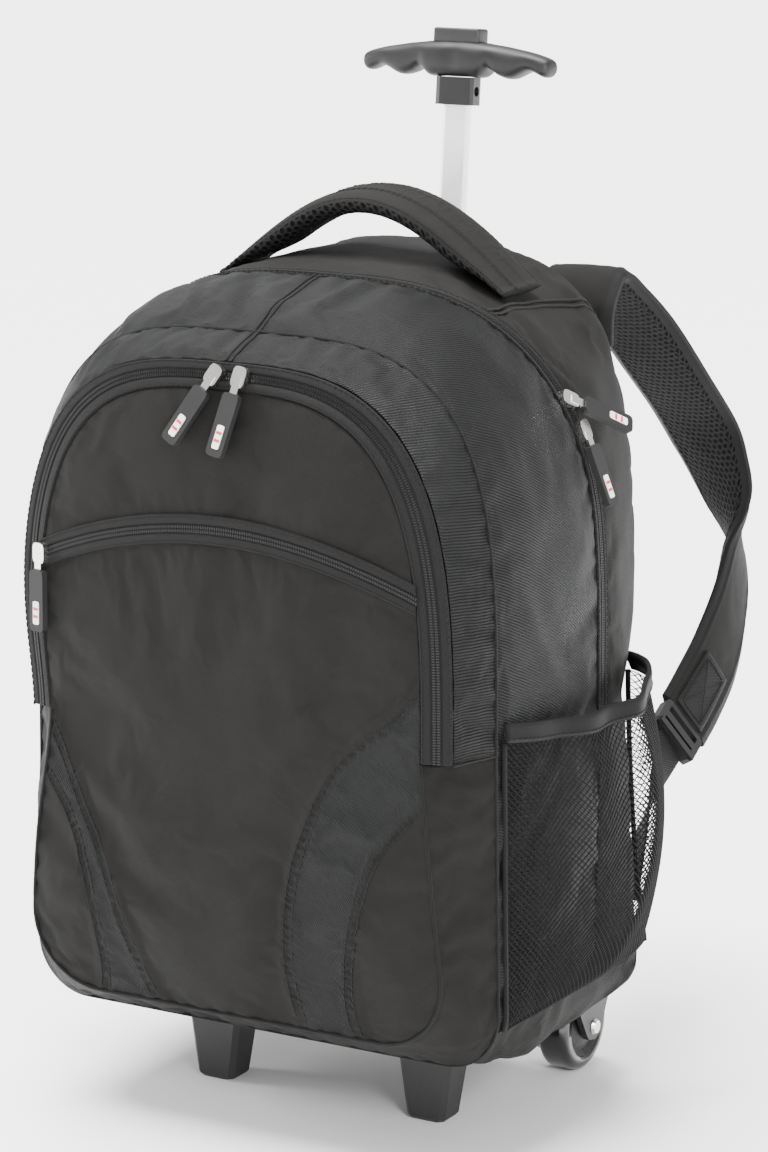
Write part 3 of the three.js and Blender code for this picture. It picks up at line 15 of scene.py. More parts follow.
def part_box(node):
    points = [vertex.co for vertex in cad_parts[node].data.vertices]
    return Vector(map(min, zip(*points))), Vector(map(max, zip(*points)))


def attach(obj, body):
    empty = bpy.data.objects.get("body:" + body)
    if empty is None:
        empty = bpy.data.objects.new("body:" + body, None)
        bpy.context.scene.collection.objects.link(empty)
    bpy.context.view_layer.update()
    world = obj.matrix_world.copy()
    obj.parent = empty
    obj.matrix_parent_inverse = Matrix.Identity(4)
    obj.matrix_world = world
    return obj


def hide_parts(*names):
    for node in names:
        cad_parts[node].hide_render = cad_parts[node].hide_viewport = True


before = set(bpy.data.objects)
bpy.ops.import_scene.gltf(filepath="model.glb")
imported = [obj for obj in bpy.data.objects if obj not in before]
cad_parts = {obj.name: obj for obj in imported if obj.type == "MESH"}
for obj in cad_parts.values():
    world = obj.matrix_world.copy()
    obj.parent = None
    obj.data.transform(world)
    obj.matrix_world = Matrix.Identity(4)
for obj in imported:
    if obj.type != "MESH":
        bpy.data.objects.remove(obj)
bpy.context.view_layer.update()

log = logging.getLogger("backpack")
MM = 0.001
GAP = 0.3
BODY = "bag"

Grid = list[list[Vector]]
Outline = list[tuple[float, float]]


def lerp(start: float, end: float, share: float) -> float:
    """The value a share of the way from start to end."""
    return start + (end - start) * share


def clamp(value: float, low: float = 0.0, high: float = 1.0) -> float:
    """The value kept between low and high."""
    return max(low, min(high, value))


def ease(value: float, low: float, high: float) -> float:
    """A smooth step from 0 at low to 1 at high."""
    share = clamp((value - low) / (high - low))
    return share * share * (3 - 2 * share)


def bell(value: float, reach: float) -> float:
    """A bell curve that is 1 at 0 and falls away over reach."""
    return math.exp(-((value / reach) ** 2))


def spline(values: Sequence[float], share: float) -> float:
    """A smooth run through values, read at a share of the way along.

    Args:
        values: The values that it passes through.
        share: How far along, from 0 to 1.

    Returns:
        The value there.
    """
    place = clamp(share) * (len(values) - 1)
    index = min(int(place), len(values) - 2)
    part = place - index

    def pick(offset: int) -> float:
        return values[int(clamp(index + offset, 0, len(values) - 1))]

    before = (pick(1) - pick(-1)) / 2
    after = (pick(2) - pick(0)) / 2
    square = part * part
    cube = square * part
    return (
        (2 * cube - 3 * square + 1) * pick(0)
        + (cube - 2 * square + part) * before
        + (3 * square - 2 * cube) * pick(1)
        + (cube - square) * after
    )


# The bag's form


@dataclass(frozen=True)
class Section:
    """One section of the bag, front to back, in shares of the bag's named sizes."""

    depth: float
    width: float
    foot: float
    top: float
    round: float
    lift: float
    corner: float
    lean: float
    tuck: float
    pinch: float


SECTIONS = {
    "face": Section(0, 0.8, 0.895, 0.753, 3.2, 0.12, 0.3, 0, 1, 0.9),
    "zip_edge": Section(0.026, 0.91, 0.91, 0.811, 3.2, 0.1, 0.28, 0, 0.9, 1),
    "corner_seam": Section(0.157, 0.974, 0.995, 0.86, 3.6, 0.035, 0.22, 0, 0, 0.3),
    "middle": Section(0.33, 0.995, 0.985, 0.925, 3.6, 0.005, 0.12, 0, 0, 0),
    "zip": Section(0.5, 1, 0.98, 0.95, 3.35, 0, 0.11, 0, 0, 0),
    "rear": Section(0.79, 0.97, 0.965, 0.96, 3.4, 0.01, 0.11, 0.2, 0, 0),
    "edge": Section(0.895, 0.9, 0.97, 0.965, 3.4, 0.015, 0.11, 0.8, 0, 0),
    "turn": Section(0.965, 0.8, 0.965, 0.935, 3, 0.03, 0.13, 0.95, 0, 0),
    "back": Section(1, 0.68, 0.85, 0.88, 3, 0.08, 0.18, 1, 0, 0),
}


@dataclass(frozen=True)
class Fold:
    """A soft crease or swelling in the cloth, its place and run in millimetres of the bag."""

    place: tuple[float, float, float]
    run: tuple[float, float, float]
    length: float
    width: float
    height: float


@dataclass
class BagForm:
    """The shape of the bag, worked out as the CAD works it out, in millimetres."""

    width: float = 312
    top: float = 505
    base: float = 56
    depth: float = 230
    shoulder: float = 246
    base_seam: float = 86
    slope: float = 0.092
    tuck: float = 11
    pinch: float = 8
    pinch_height: float = 242
    pinch_reach: float = 55
    bulge: float = 10
    cloth: float = 2
    foot_front: float = 96.48
    folds: tuple[Fold, ...] = ()
    shift: float = field(init=False)

    def __post_init__(self) -> None:
        """Reads where the CAD put the bag from the place of a foot."""
        self.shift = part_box("foot_right")[0][1] / MM - self.foot_front

    def world(self, point: Vector) -> Vector:
        """A point of the bag, in metres of the frame."""
        return Vector((point.x, point.y + self.shift, point.z)) * MM

    @property
    def half(self) -> float:
        """Half the bag's width."""
        return self.width / 2

    def part(self, name: str) -> "Cut":
        """The named section in millimetres."""
        return Cut(self, SECTIONS[name])

    def zip_depth(self, height: float) -> float:
        """How far back the main zip runs at a height."""
        low = self.shoulder + 0.42 * (self.top - self.shoulder)
        share = clamp((height - low) / (self.part("zip").top - low))
        return lerp(0.678 * self.depth, 0.46 * self.depth, share**1.9)

    def loft(self, names: Sequence[str], outlines: Sequence[Outline], rows: int,
             depths: Callable[[int, float], float]) -> Grid:
        """A smooth skin through several sections.

        Args:
            names: The sections, front to back; not used.
            outlines: The outline of each.
            rows: How many rows the skin gets.
            depths: Gives y for a section's number and a height.

        Returns:
            Rows of points.
        """
        grid: Grid = []
        columns = len(outlines[0])
        tracks = []
        for column in range(columns):
            xs = [outline[column][0] for outline in outlines]
            zs = [outline[column][1] for outline in outlines]
            tracks.append((xs, [depths(row, z) for row, z in enumerate(zs)], zs))
        for row in range(rows + 1):
            share = row / rows
            grid.append([Vector([spline(values, share) for values in track]) for track in tracks])
        return grid

    def side_at(self, y: float, z: float) -> float:
        """Half the bag's width at a depth and a height."""
        names = ("corner_seam", "middle", "zip", "rear", "edge", "turn")
        cuts = [self.part(name) for name in names]
        depths = [self.zip_depth(z) if name == "zip" else cut.depth_at(z) for name, cut in zip(names, cuts)]
        index = next((i for i, depth in enumerate(depths) if depth > y), len(depths) - 1)
        index = max(1, index)
        share = clamp((y - depths[index - 1]) / (depths[index] - depths[index - 1]))
        return lerp(cuts[index - 1].side(z), cuts[index].side(z), share)

    def top_at(self, x: float, y: float) -> float:
        """The height of the bag's top at a place."""
        places = []
        for name in ("zip", "rear", "edge", "turn"):
            cut = self.part(name)
            share = min(abs(x) / cut.width, 1)
            z = self.shoulder + (cut.top - self.shoulder) * (1 - share**cut.round) ** (1 / cut.round)
            places.append((self.zip_depth(z) if name == "zip" else cut.depth_at(z), z))
        index = max(1, next((i for i, place in enumerate(places) if place[0] > y), len(places) - 1))
        (y0, z0), (y1, z1) = places[index - 1], places[index]
        return lerp(z0, z1, clamp((y - y0) / (y1 - y0)))


class Cut:
    """A section of the bag in millimetres."""

    def __init__(self, form: BagForm, section: Section) -> None:
        """Works out the section's sizes from the bag's."""
        rise = form.top - form.shoulder
        drop = form.shoulder - form.base
        self.form = form
        self.depth = section.depth * form.depth
        self.width = section.width * form.half
        self.foot = section.foot * form.half
        self.top = form.shoulder + section.top * rise
        self.base = form.base + section.lift * drop
        self.corner = section.corner * form.half
        self.round = section.round
        self.lean = section.lean
        self.tuck = section.tuck
        self.pinch = section.pinch * form.pinch

    def depth_at(self, height: float) -> float:
        """How far back the section is at a height."""
        form = self.form
        below = max(0.0, (form.shoulder - height) / (form.shoulder - form.base))
        return self.depth + self.lean * form.slope * (height - form.base) + self.tuck * form.tuck * below**2

    def side(self, height: float) -> float:
        """Half the width at a height below the shoulder."""
        form = self.form
        bend = self.base + self.corner
        straight = lerp(self.foot, self.width, (height - self.base) / (form.shoulder - self.base))
        below = clamp(max(0.0, (bend - height) / self.corner))
        return straight - self.corner * (1 - math.sqrt(1 - below**2))

    def hollow(self, z: float) -> float:
        """How far the left side is drawn in at a height."""
        return self.pinch * bell(z - self.form.pinch_height, self.form.pinch_reach)

    def arch(self, low: float, columns: int) -> Outline:
        """The outline above a height, from the right over the top to the left, evenly spaced."""
        form = self.form
        right: Outline = []
        if low < form.shoulder:
            heights = [lerp(low, form.shoulder, i / 40) for i in range(40)]
            right += [(self.side(z), z) for z in heights]
        fine = 160
        for step in range(fine + 1):
            share = step / fine
            turn = 0.5 * (2 * share) ** 1.7 if share < 0.5 else 1 - 0.5 * (2 - 2 * share) ** 1.7
            angle = turn * math.pi / 2
            x = self.width * max(0.0, math.cos(angle)) ** (2 / self.round)
            z = form.shoulder + (self.top - form.shoulder) * math.sin(angle) ** (2 / self.round)
            right.append((x, max(z, low)))
        left = [(min(0.0, self.hollow(z) - x), z) for x, z in reversed(right[:-1])]
        return evenly(right + left, columns)

    def trough(self, high: float, columns: int) -> Outline:
        """The outline below a height, from the left under the base to the right, evenly spaced."""
        bend = self.base + self.corner
        heights = [lerp(high, bend, i / 30) for i in range(30)] if high > bend else []
        start = math.asin(max(0.0, (bend - high) / self.corner))
        heights += [bend - self.corner * math.sin(lerp(start, math.pi / 2, i / 40)) for i in range(41)]
        right = [(self.side(z), z) for z in heights]
        left = [(min(0.0, self.hollow(z) - x), z) for x, z in right]
        return evenly(left + right[::-1], columns)


def evenly(path: Outline, columns: int) -> Outline:
    """The path again with columns equal spans."""
    lengths = [0.0]
    for (x0, z0), (x1, z1) in zip(path, path[1:]):
        lengths.append(lengths[-1] + math.hypot(x1 - x0, z1 - z0))
    even: Outline = []
    index = 0
    for step in range(columns + 1):
        goal = lengths[-1] * step / columns
        while index < len(path) - 2 and lengths[index + 1] < goal:
            index += 1
        span = lengths[index + 1] - lengths[index]
        share = 0.0 if span == 0 else clamp((goal - lengths[index]) / span)
        (x0, z0), (x1, z1) = path[index], path[index + 1]
        even.append((lerp(x0, x1, share), lerp(z0, z1, share)))
    return even


# Shader parts


class Tree:
    """Adds and links shader nodes in one tree."""

    def __init__(self, tree: bpy.types.NodeTree) -> None:
        """Works in the given tree."""
        self.tree = tree

    def add(self, kind: str, **settings: object) -> bpy.types.Node:
        """A new node with its settings; a key that names an input sets or links it."""
        node = self.tree.nodes.new(kind)
        for key, value in settings.items():
            if hasattr(node, key) and not key[0].isupper():
                setattr(node, key, value)
            else:
                self.put(node, key.replace("_", " "), value)
        return node

    def put(self, node: bpy.types.Node, key: str | int, value: object) -> None:
        """Sets an input's value, or links a socket to it."""
        if isinstance(value, bpy.types.NodeSocket):
            self.tree.links.new(value, node.inputs[key])
        else:
            node.inputs[key].default_value = value

    def math(self, operation: str, first: object, second: object = 0.0) -> bpy.types.NodeSocket:
        """The result of one sum."""
        node = self.tree.nodes.new("ShaderNodeMath")
        node.operation = operation
        self.put(node, 0, first)
        self.put(node, 1, second)
        return node.outputs[0]

    def ramp(self, value: object, low: float, high: float, start: float = 0.0,
             end: float = 1.0) -> bpy.types.NodeSocket:
        """The value mapped smoothly from low..high to start..end."""
        node = self.tree.nodes.new("ShaderNodeMapRange")
        node.interpolation_type = "SMOOTHSTEP"
        for index, item in enumerate((value, low, high, start, end)):
            self.put(node, index, item)
        return node.outputs[0]


def effect(name: str, inputs: dict[str, tuple[str, object]], outputs: dict[str, str],
           build: Callable[[Tree, bpy.types.Node, bpy.types.Node], None]) -> bpy.types.NodeTree:
    """A shared shader node group, made once.

    Args:
        name: The group's name.
        inputs: For each input its socket type and value.
        outputs: For each output its socket type.
        build: Fills the group, given its tree, its input node and its output node.

    Returns:
        The group.
    """
    if name in bpy.data.node_groups:
        return bpy.data.node_groups[name]
    group = bpy.data.node_groups.new(name, "ShaderNodeTree")
    for key, (kind, value) in inputs.items():
        socket = group.interface.new_socket(key, in_out="INPUT", socket_type=kind)
        if value is not None:
            socket.default_value = value
    for key, kind in outputs.items():
        group.interface.new_socket(key, in_out="OUTPUT", socket_type=kind)
    tree = Tree(group)
    build(tree, group.nodes.new("NodeGroupInput"), group.nodes.new("NodeGroupOutput"))
    return group


FLOAT = "NodeSocketFloat"
VECTOR = "NodeSocketVector"


def weave_group() -> bpy.types.NodeTree:
    """Plain woven threads: a height and a tone from crossed waves broken up by noise."""

    def build(tree: Tree, given: bpy.types.Node, result: bpy.types.Node) -> None:
        split = tree.add("ShaderNodeSeparateXYZ", Vector=given.outputs["Vector"])
        turns = tree.math("DIVIDE", 2 * math.pi, given.outputs["Pitch"])
        along = tree.math("SINE", tree.math("MULTIPLY", split.outputs[0], turns))
        across = tree.math("SINE", tree.math("MULTIPLY", split.outputs[1], turns))
        checks = tree.math("MULTIPLY", along, across)
        fine = tree.add("ShaderNodeTexNoise", Vector=given.outputs["Vector"], Scale=1400.0, Detail=2.0)
        height = tree.math("ADD", tree.math("MULTIPLY", checks, 0.35), fine.outputs[0])
        broad = tree.add("ShaderNodeTexNoise", Vector=given.outputs["Vector"], Scale=55.0, Detail=3.0)
        patches = tree.math("MULTIPLY", broad.outputs[0], 0.35)
        tone = tree.math("ADD", tree.math("MULTIPLY", height, 0.5), patches)
        tree.put(result, "Height", height)
        tree.put(result, "Tone", tone)

    return effect("woven_threads", {"Vector": (VECTOR, None), "Pitch": (FLOAT, 0.0008)},
                  {"Height": FLOAT, "Tone": FLOAT}, build)


def twill_group() -> bpy.types.NodeTree:
    """Fine diagonal ribs: a height and a tone."""

    def build(tree: Tree, given: bpy.types.Node, result: bpy.types.Node) -> None:
        wander = tree.add("ShaderNodeTexNoise", Vector=given.outputs["Vector"], Scale=90.0, Detail=1.0)
        split = tree.add("ShaderNodeSeparateXYZ", Vector=given.outputs["Vector"])
        slant = tree.math("ADD", split.outputs[0], tree.math("MULTIPLY", split.outputs[1], 0.8))
        slant = tree.math("ADD", slant, tree.math("MULTIPLY", wander.outputs[0], 0.0006))
        turns = tree.math("DIVIDE", 2 * math.pi, given.outputs["Pitch"])
        ribs = tree.math("SINE", tree.math("MULTIPLY", slant, turns))
        fine = tree.add("ShaderNodeTexNoise", Vector=given.outputs["Vector"], Scale=900.0, Detail=2.0)
        fibres = tree.math("MULTIPLY", fine.outputs[0], 0.7)
        height = tree.math("ADD", tree.math("MULTIPLY", ribs, 0.5), fibres)
        tree.put(result, "Height", height)
        tree.put(result, "Tone", tree.math("ADD", tree.math("MULTIPLY", height, 0.45), 0.25))

    return effect("twill_ribs", {"Vector": (VECTOR, None), "Pitch": (FLOAT, 0.0016)},
                  {"Height": FLOAT, "Tone": FLOAT}, build)


def air_mesh_group() -> bpy.types.NodeTree:
    """Padded air mesh: rows of small round holes, offset row by row."""

    def build(tree: Tree, given: bpy.types.Node, result: bpy.types.Node) -> None:
        split = tree.add("ShaderNodeSeparateXYZ", Vector=given.outputs["Vector"])
        pitch = given.outputs["Pitch"]
        row = tree.math("FLOOR", tree.math("DIVIDE", split.outputs[1], pitch))
        offset = tree.math("MULTIPLY", tree.math("MODULO", row, 2.0), 0.5)
        along = tree.math("ADD", tree.math("DIVIDE", split.outputs[0], pitch), offset)
        x = tree.math("SUBTRACT", tree.math("FRACT", along), 0.5)
        y = tree.math("SUBTRACT", tree.math("FRACT", tree.math("DIVIDE", split.outputs[1], pitch)), 0.5)
        away = tree.math("SQRT", tree.math("ADD", tree.math("MULTIPLY", x, x), tree.math("MULTIPLY", y, y)))
        web = tree.ramp(away, 0.22, 0.46)
        fuzz = tree.add("ShaderNodeTexNoise", Vector=given.outputs["Vector"], Scale=1200.0, Detail=2.0)
        tree.put(result, "Height", tree.math("ADD", web, tree.math("MULTIPLY", fuzz.outputs[0], 0.3)))
        tree.put(result, "Tone", tree.math("MULTIPLY", web, tree.math("ADD", fuzz.outputs[0], 0.4)))

    return effect("air_mesh", {"Vector": (VECTOR, None), "Pitch": (FLOAT, 0.0038)},
                  {"Height": FLOAT, "Tone": FLOAT}, build)


def grain_group() -> bpy.types.NodeTree:
    """Moulded grain and wear for hard parts: a height and a tone."""

    def build(tree: Tree, given: bpy.types.Node, result: bpy.types.Node) -> None:
        place = tree.add("ShaderNodeTexCoord").outputs["Object"]
        fine = tree.add("ShaderNodeTexNoise", Vector=place, Scale=given.outputs["Scale"], Detail=3.0)
        broad = tree.add("ShaderNodeTexNoise", Vector=place, Scale=60.0, Detail=3.0)
        tree.put(result, "Height", fine.outputs[0])
        wear = tree.math("MULTIPLY", broad.outputs[0], 0.6)
        tone = tree.math("ADD", tree.math("MULTIPLY", fine.outputs[0], 0.3), wear)
        tree.put(result, "Tone", tone)

    return effect("moulded_grain", {"Scale": (FLOAT, 1500.0)}, {"Height": FLOAT, "Tone": FLOAT}, build)


class Pattern(Enum):
    """What a cloth finish is woven or knitted as."""

    WEAVE = "weave"
    TWILL = "twill"
    AIR_MESH = "air_mesh"


@dataclass(frozen=True)
class Cloth:
    """A woven finish, read over the piece's own UV map in metres, or over a solid piece's own place."""

    name: str
    slot: str
    pattern: Pattern
    dark: tuple[float, float, float]
    light: tuple[float, float, float]
    pitch: float
    depth: float
    roughness: float = 0.8
    sheen: float = 0.25
    specular: float = 0.2
    solid: bool = False

    def material(self) -> bpy.types.Material:
        """The finish as a material, made once."""
        if self.name in bpy.data.materials:
            return bpy.data.materials[self.name]
        made = bpy.data.materials.new(self.name)
        made.use_nodes = True
        tree = Tree(made.node_tree)
        shader = made.node_tree.nodes["Principled BSDF"]
        if self.solid:
            place = tree.add("ShaderNodeTexCoord").outputs["Object"]
        else:
            place = tree.add("ShaderNodeUVMap", uv_map="cloth").outputs[0]
        groups = {Pattern.WEAVE: weave_group, Pattern.TWILL: twill_group, Pattern.AIR_MESH: air_mesh_group}
        threads = tree.add("ShaderNodeGroup", node_tree=groups[self.pattern]())
        tree.put(threads, "Vector", place)
        tree.put(threads, "Pitch", self.pitch)
        tint = tree.add("ShaderNodeMix", data_type="RGBA")
        tree.put(tint, 0, threads.outputs["Tone"])
        tree.put(tint, 6, (*self.dark, 1))
        tree.put(tint, 7, (*self.light, 1))
        bump = tree.add("ShaderNodeBump", Strength=0.9, Distance=self.depth)
        tree.put(bump, "Height", threads.outputs["Height"])
        tree.put(shader, "Base Color", tint.outputs[2])
        tree.put(shader, "Normal", bump.outputs[0])
        shader.inputs["Roughness"].default_value = self.roughness
        shader.inputs["Sheen Weight"].default_value = self.sheen
        shader.inputs["Sheen Roughness"].default_value = 0.5
        shader.inputs["Specular IOR Level"].default_value = self.specular
        return made


@dataclass(frozen=True)
class Hard:
    """A moulded or metal finish."""

    name: str
    slot: str
    dark: tuple[float, float, float]
    light: tuple[float, float, float]
    roughness: float
    metallic: float = 0.0
    grain: float = 1500.0
    depth: float = 0.00005
    coat: float = 0.0
    specular: float = 0.5

    def material(self) -> bpy.types.Material:
        """The finish as a material, made once."""
        if self.name in bpy.data.materials:
            return bpy.data.materials[self.name]
        made = bpy.data.materials.new(self.name)
        made.use_nodes = True
        tree = Tree(made.node_tree)
        shader = made.node_tree.nodes["Principled BSDF"]
        grain = tree.add("ShaderNodeGroup", node_tree=grain_group())
        tree.put(grain, "Scale", self.grain)
        tint = tree.add("ShaderNodeMix", data_type="RGBA")
        tree.put(tint, 0, grain.outputs["Tone"])
        tree.put(tint, 6, (*self.dark, 1))
        tree.put(tint, 7, (*self.light, 1))
        bump = tree.add("ShaderNodeBump", Strength=0.5, Distance=self.depth)
        tree.put(bump, "Height", grain.outputs["Height"])
        tree.put(shader, "Base Color", tint.outputs[2])
        tree.put(shader, "Normal", bump.outputs[0])
        smooth, rough = self.roughness - 0.06, self.roughness + 0.06
        tree.put(shader, "Roughness", tree.ramp(grain.outputs["Tone"], 0.2, 0.7, smooth, rough))
        shader.inputs["Metallic"].default_value = self.metallic
        shader.inputs["Coat Weight"].default_value = self.coat
        shader.inputs["Specular IOR Level"].default_value = self.specular
        return made


def grey(low: float, high: float, warm: float = 0.0) -> dict[str, tuple[float, float, float]]:
    """Dark and light of a near-grey colour, warmer or cooler by a share."""
    return {
        "dark": (low * (1 + warm), low, low * (1 - warm)),
        "light": (high * (1 + warm), high, high * (1 - warm)),
    }


PLAIN = Cloth("plain_cloth", "polyester", Pattern.WEAVE, **grey(0.003, 0.0108, 0.06), pitch=0.0009,
              depth=0.00024, roughness=0.62, sheen=0.01, specular=0.1)
LINING = Cloth("lining_cloth", "polyester", Pattern.WEAVE, **grey(0.006, 0.02, 0.035), pitch=0.0009,
               depth=0.0002, solid=True)
TWILL = Cloth("twill_cloth", "twill", Pattern.TWILL, **grey(0.001, 0.016, -0.02), pitch=0.0017, depth=0.00045,
              roughness=0.45, sheen=0.01, specular=0.1)
TAPE = Cloth("zip_tape", "tape", Pattern.WEAVE, **grey(0.002, 0.0085), pitch=0.0011, depth=0.0003,
             roughness=0.6, sheen=0.02, specular=0.12)
BINDING = Cloth("binding", "tape", Pattern.TWILL, **grey(0.002, 0.01), pitch=0.0012, depth=0.0003,
                roughness=0.6, sheen=0.02, specular=0.12)
AIR = Cloth("air_mesh_cloth", "polyester", Pattern.AIR_MESH, **grey(0.0002, 0.015), pitch=0.0042,
            depth=0.0026, sheen=0.0, specular=0.1)
NET = Cloth("net_cord", "net", Pattern.WEAVE, **grey(0.0025, 0.011), pitch=0.0007, depth=0.0002,
            roughness=0.6, sheen=0.02, specular=0.12)
THREAD = Hard("thread", "polyester", **grey(0.004, 0.012), roughness=0.6, specular=0.15)
COIL = Hard("zip_coil", "tape", **grey(0.002, 0.008), roughness=0.4, specular=0.3)
PLASTIC = Hard("satin_plastic", "plastic", **grey(0.003, 0.008), roughness=0.38, specular=0.45)
GRIP = Hard("grip_plastic", "plastic", **grey(0.005, 0.011), roughness=0.5, grain=2200.0, specular=0.35)
BUTTON = Hard("button_plastic", "plastic", **grey(0.014, 0.025), roughness=0.45, specular=0.35)
RUBBER = Hard("pull_rubber", "rubber", **grey(0.007, 0.016), roughness=0.6, specular=0.3)
TYRE = Hard("tyre_rubber", "rubber", **grey(0.002, 0.005), roughness=0.2, coat=0.4)
FOOT = Hard("foot_plastic", "plastic", **grey(0.012, 0.02), roughness=0.55, specular=0.4)
CHEEK = Hard("cheek_plastic", "plastic", **grey(0.012, 0.022), roughness=0.4, specular=0.4)
ALUMINIUM = Hard("satin_aluminium", "aluminium", (0.9, 0.9, 0.91), (0.98, 0.98, 0.98), roughness=0.36,
                 metallic=0.55, grain=300.0)
STEEL = Hard("bright_steel", "steel", (0.7, 0.69, 0.66), (0.86, 0.85, 0.82), roughness=0.2, metallic=1.0)
WHITE = Hard("white_inset", "enamel", (0.75, 0.74, 0.73), (0.85, 0.84, 0.83), roughness=0.4)
RED = Hard("red_mark", "enamel", (0.5, 0.02, 0.02), (0.62, 0.04, 0.04), roughness=0.45)


# Mesh helpers


def finish_mesh(name: str, mesh: bmesh.types.BMesh, finishes: Sequence[Cloth | Hard], body: str = BODY,
                smooth: bool = True) -> bpy.types.Object:
    """Turns a bmesh into an object that rides on a body.

    Args:
        name: The piece's name.
        mesh: The shape, in metres of the frame; it is freed.
        finishes: One for each material number used in the mesh.
        body: The CAD body that it rides on.
        smooth: Whether its faces are shaded smooth.

    Returns:
        The object.
    """
    data = bpy.data.meshes.new(name)
    mesh.to_mesh(data)
    mesh.free()
    for finish in finishes:
        data.materials.append(finish.material())
    data.polygons.foreach_set("use_smooth", [smooth] * len(data.polygons))
    made = bpy.data.objects.new(name, data)
    bpy.context.scene.collection.objects.link(made)
    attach(made, body)
    log.info("%s: %d faces", name, len(data.polygons))
    return made


def grid_mesh(grid: Grid, form: BagForm, close_columns: bool = False,
              slots: Callable[[int, int], int] | None = None) -> bmesh.types.BMesh:
    """A sheet through rows of points, with a UV map in metres of cloth.

    Args:
        grid: Rows of points in millimetres of the bag.
        form: Places the points in the frame.
        close_columns: Whether the first and last column are one.
        slots: Gives the material number for a row and a column.

    Returns:
        The sheet.
    """
    rows, columns = len(grid) - 1, len(grid[0]) - 1
    mesh = bmesh.new()
    bmesh.ops.create_grid(mesh, x_segments=columns, y_segments=rows, size=0.5)
    layer = mesh.loops.layers.uv.new("cloth")
    across = [[0.0] for _ in grid]
    for row, points in enumerate(grid):
        for first, second in zip(points, points[1:]):
            across[row].append(across[row][-1] + (second - first).length)
    along = [[0.0] * (columns + 1)]
    for row in range(rows):
        steps = [(after - before).length for before, after in zip(grid[row], grid[row + 1])]
        along.append([far + step for far, step in zip(along[row], steps)])
    spots = {}
    for vert in mesh.verts:
        column = round((vert.co.x + 0.5) * columns)
        row = round((vert.co.y + 0.5) * rows)
        spots[vert] = (row, column)
    for face in mesh.faces:
        if slots is not None:
            places = [spots[vert] for vert in face.verts]
            face.material_index = slots(min(row for row, _ in places), min(column for _, column in places))
        for loop in face.loops:
            row, column = spots[loop.vert]
            middle = across[row][-1] / 2
            loop[layer].uv = ((across[row][column] - middle) * MM, along[row][column] * MM)
    for vert, (row, column) in spots.items():
        vert.co = form.world(grid[row][column])
    if close_columns:
        bmesh.ops.remove_doubles(mesh, verts=mesh.verts, dist=1e-6)
    return mesh


def face_outward(mesh: bmesh.types.BMesh, middle: Vector) -> None:
    """Turns an open sheet's faces away from a middle point."""
    mesh.normal_update()
    vote = 0.0
    for face in mesh.faces:
        vote += (face.calc_center_median() - middle).dot(face.normal) * face.calc_area()
    if vote < 0:
        bmesh.ops.reverse_faces(mesh, faces=mesh.faces)


def normals_of(grid: Grid, middle: Vector, closed: bool) -> Grid:
    """The outward normal at each point of a grid, whose last column is its first where it is closed."""
    rows, columns = len(grid), len(grid[0])
    result: Grid = []
    for row in range(rows):
        line = []
        for column in range(columns):
            after, before = min(column + 1, columns - 1), max(column - 1, 0)
            if closed and column in (0, columns - 1):
                after, before = 1, columns - 2
            one = grid[row][after] - grid[row][before]
            two = grid[min(row + 1, rows - 1)][column] - grid[max(row - 1, 0)][column]
            normal = one.cross(two)
            if normal.length < 1e-9:
                normal = grid[row][column] - middle
            normal.normalize()
            if normal.dot(grid[row][column] - middle) < 0:
                normal.negate()
            line.append(normal)
        result.append(line)
    return result


def relieve(grid: Grid, middle: Vector, height: Callable[[Vector, float, float], float],
            closed: bool = False) -> Grid:
    """Raises each point along its normal.

    Args:
        grid: The points.
        middle: A point inside the bag.
        height: Gives millimetres for a point and its distances in millimetres from the first and last row.
        closed: Whether the last column is the first.

    Returns:
        The raised points.
    """
    normals = normals_of(grid, middle, closed)
    rows, columns = len(grid), len(grid[0])
    from_start = [[0.0] * columns]
    for row in range(1, rows):
        steps = [(after - before).length for before, after in zip(grid[row - 1], grid[row])]
        from_start.append([far + step for far, step in zip(from_start[-1], steps)])
    return [
        [
            point + normals[row][column] * height(point, from_start[row][column],
                                                  from_start[-1][column] - from_start[row][column])
            for column, point in enumerate(line)
        ]
        for row, line in enumerate(grid)
    ]


def closed_piece(name: str, grid: Grid, form: BagForm, finishes: Sequence[Cloth | Hard], body: str = BODY,
                 slots: Callable[[int, int], int] | None = None) -> bpy.types.Object:
    """A closed piece through rings of points.

    Args:
        name: The piece's name.
        grid: One row for each ring, its last point on its first.
        form: Places the points in the frame.
        finishes: One for each material number.
        body: The CAD body that it rides on.
        slots: Gives the material number for a row and a column.

    Returns:
        The object, its ends filled unless its last ring is its first.
    """
    mesh = grid_mesh(grid, form, close_columns=True, slots=slots)
    ends = [edge for edge in mesh.edges if edge.is_boundary]
    if ends:
        bmesh.ops.holes_fill(mesh, edges=ends, sides=0)
    bmesh.ops.recalc_face_normals(mesh, faces=mesh.faces)
    return finish_mesh(name, mesh, finishes, body)


def flat_map(mesh: bmesh.types.BMesh) -> None:
    """Gives a mesh a UV map that looks at it from the front, in metres of the frame."""
    layer = mesh.loops.layers.uv["cloth"]
    for face in mesh.faces:
        for loop in face.loops:
            loop[layer].uv = (loop.vert.co.x, loop.vert.co.z)


def fill_middle(mesh: bmesh.types.BMesh, longest: float) -> None:
    """Fills the small hole in the middle of rings, whose edges are shorter than longest in millimetres."""
    edges = [edge for edge in mesh.edges if edge.is_boundary and edge.calc_length() < longest * MM]
    bmesh.ops.holes_fill(mesh, edges=edges, sides=0)


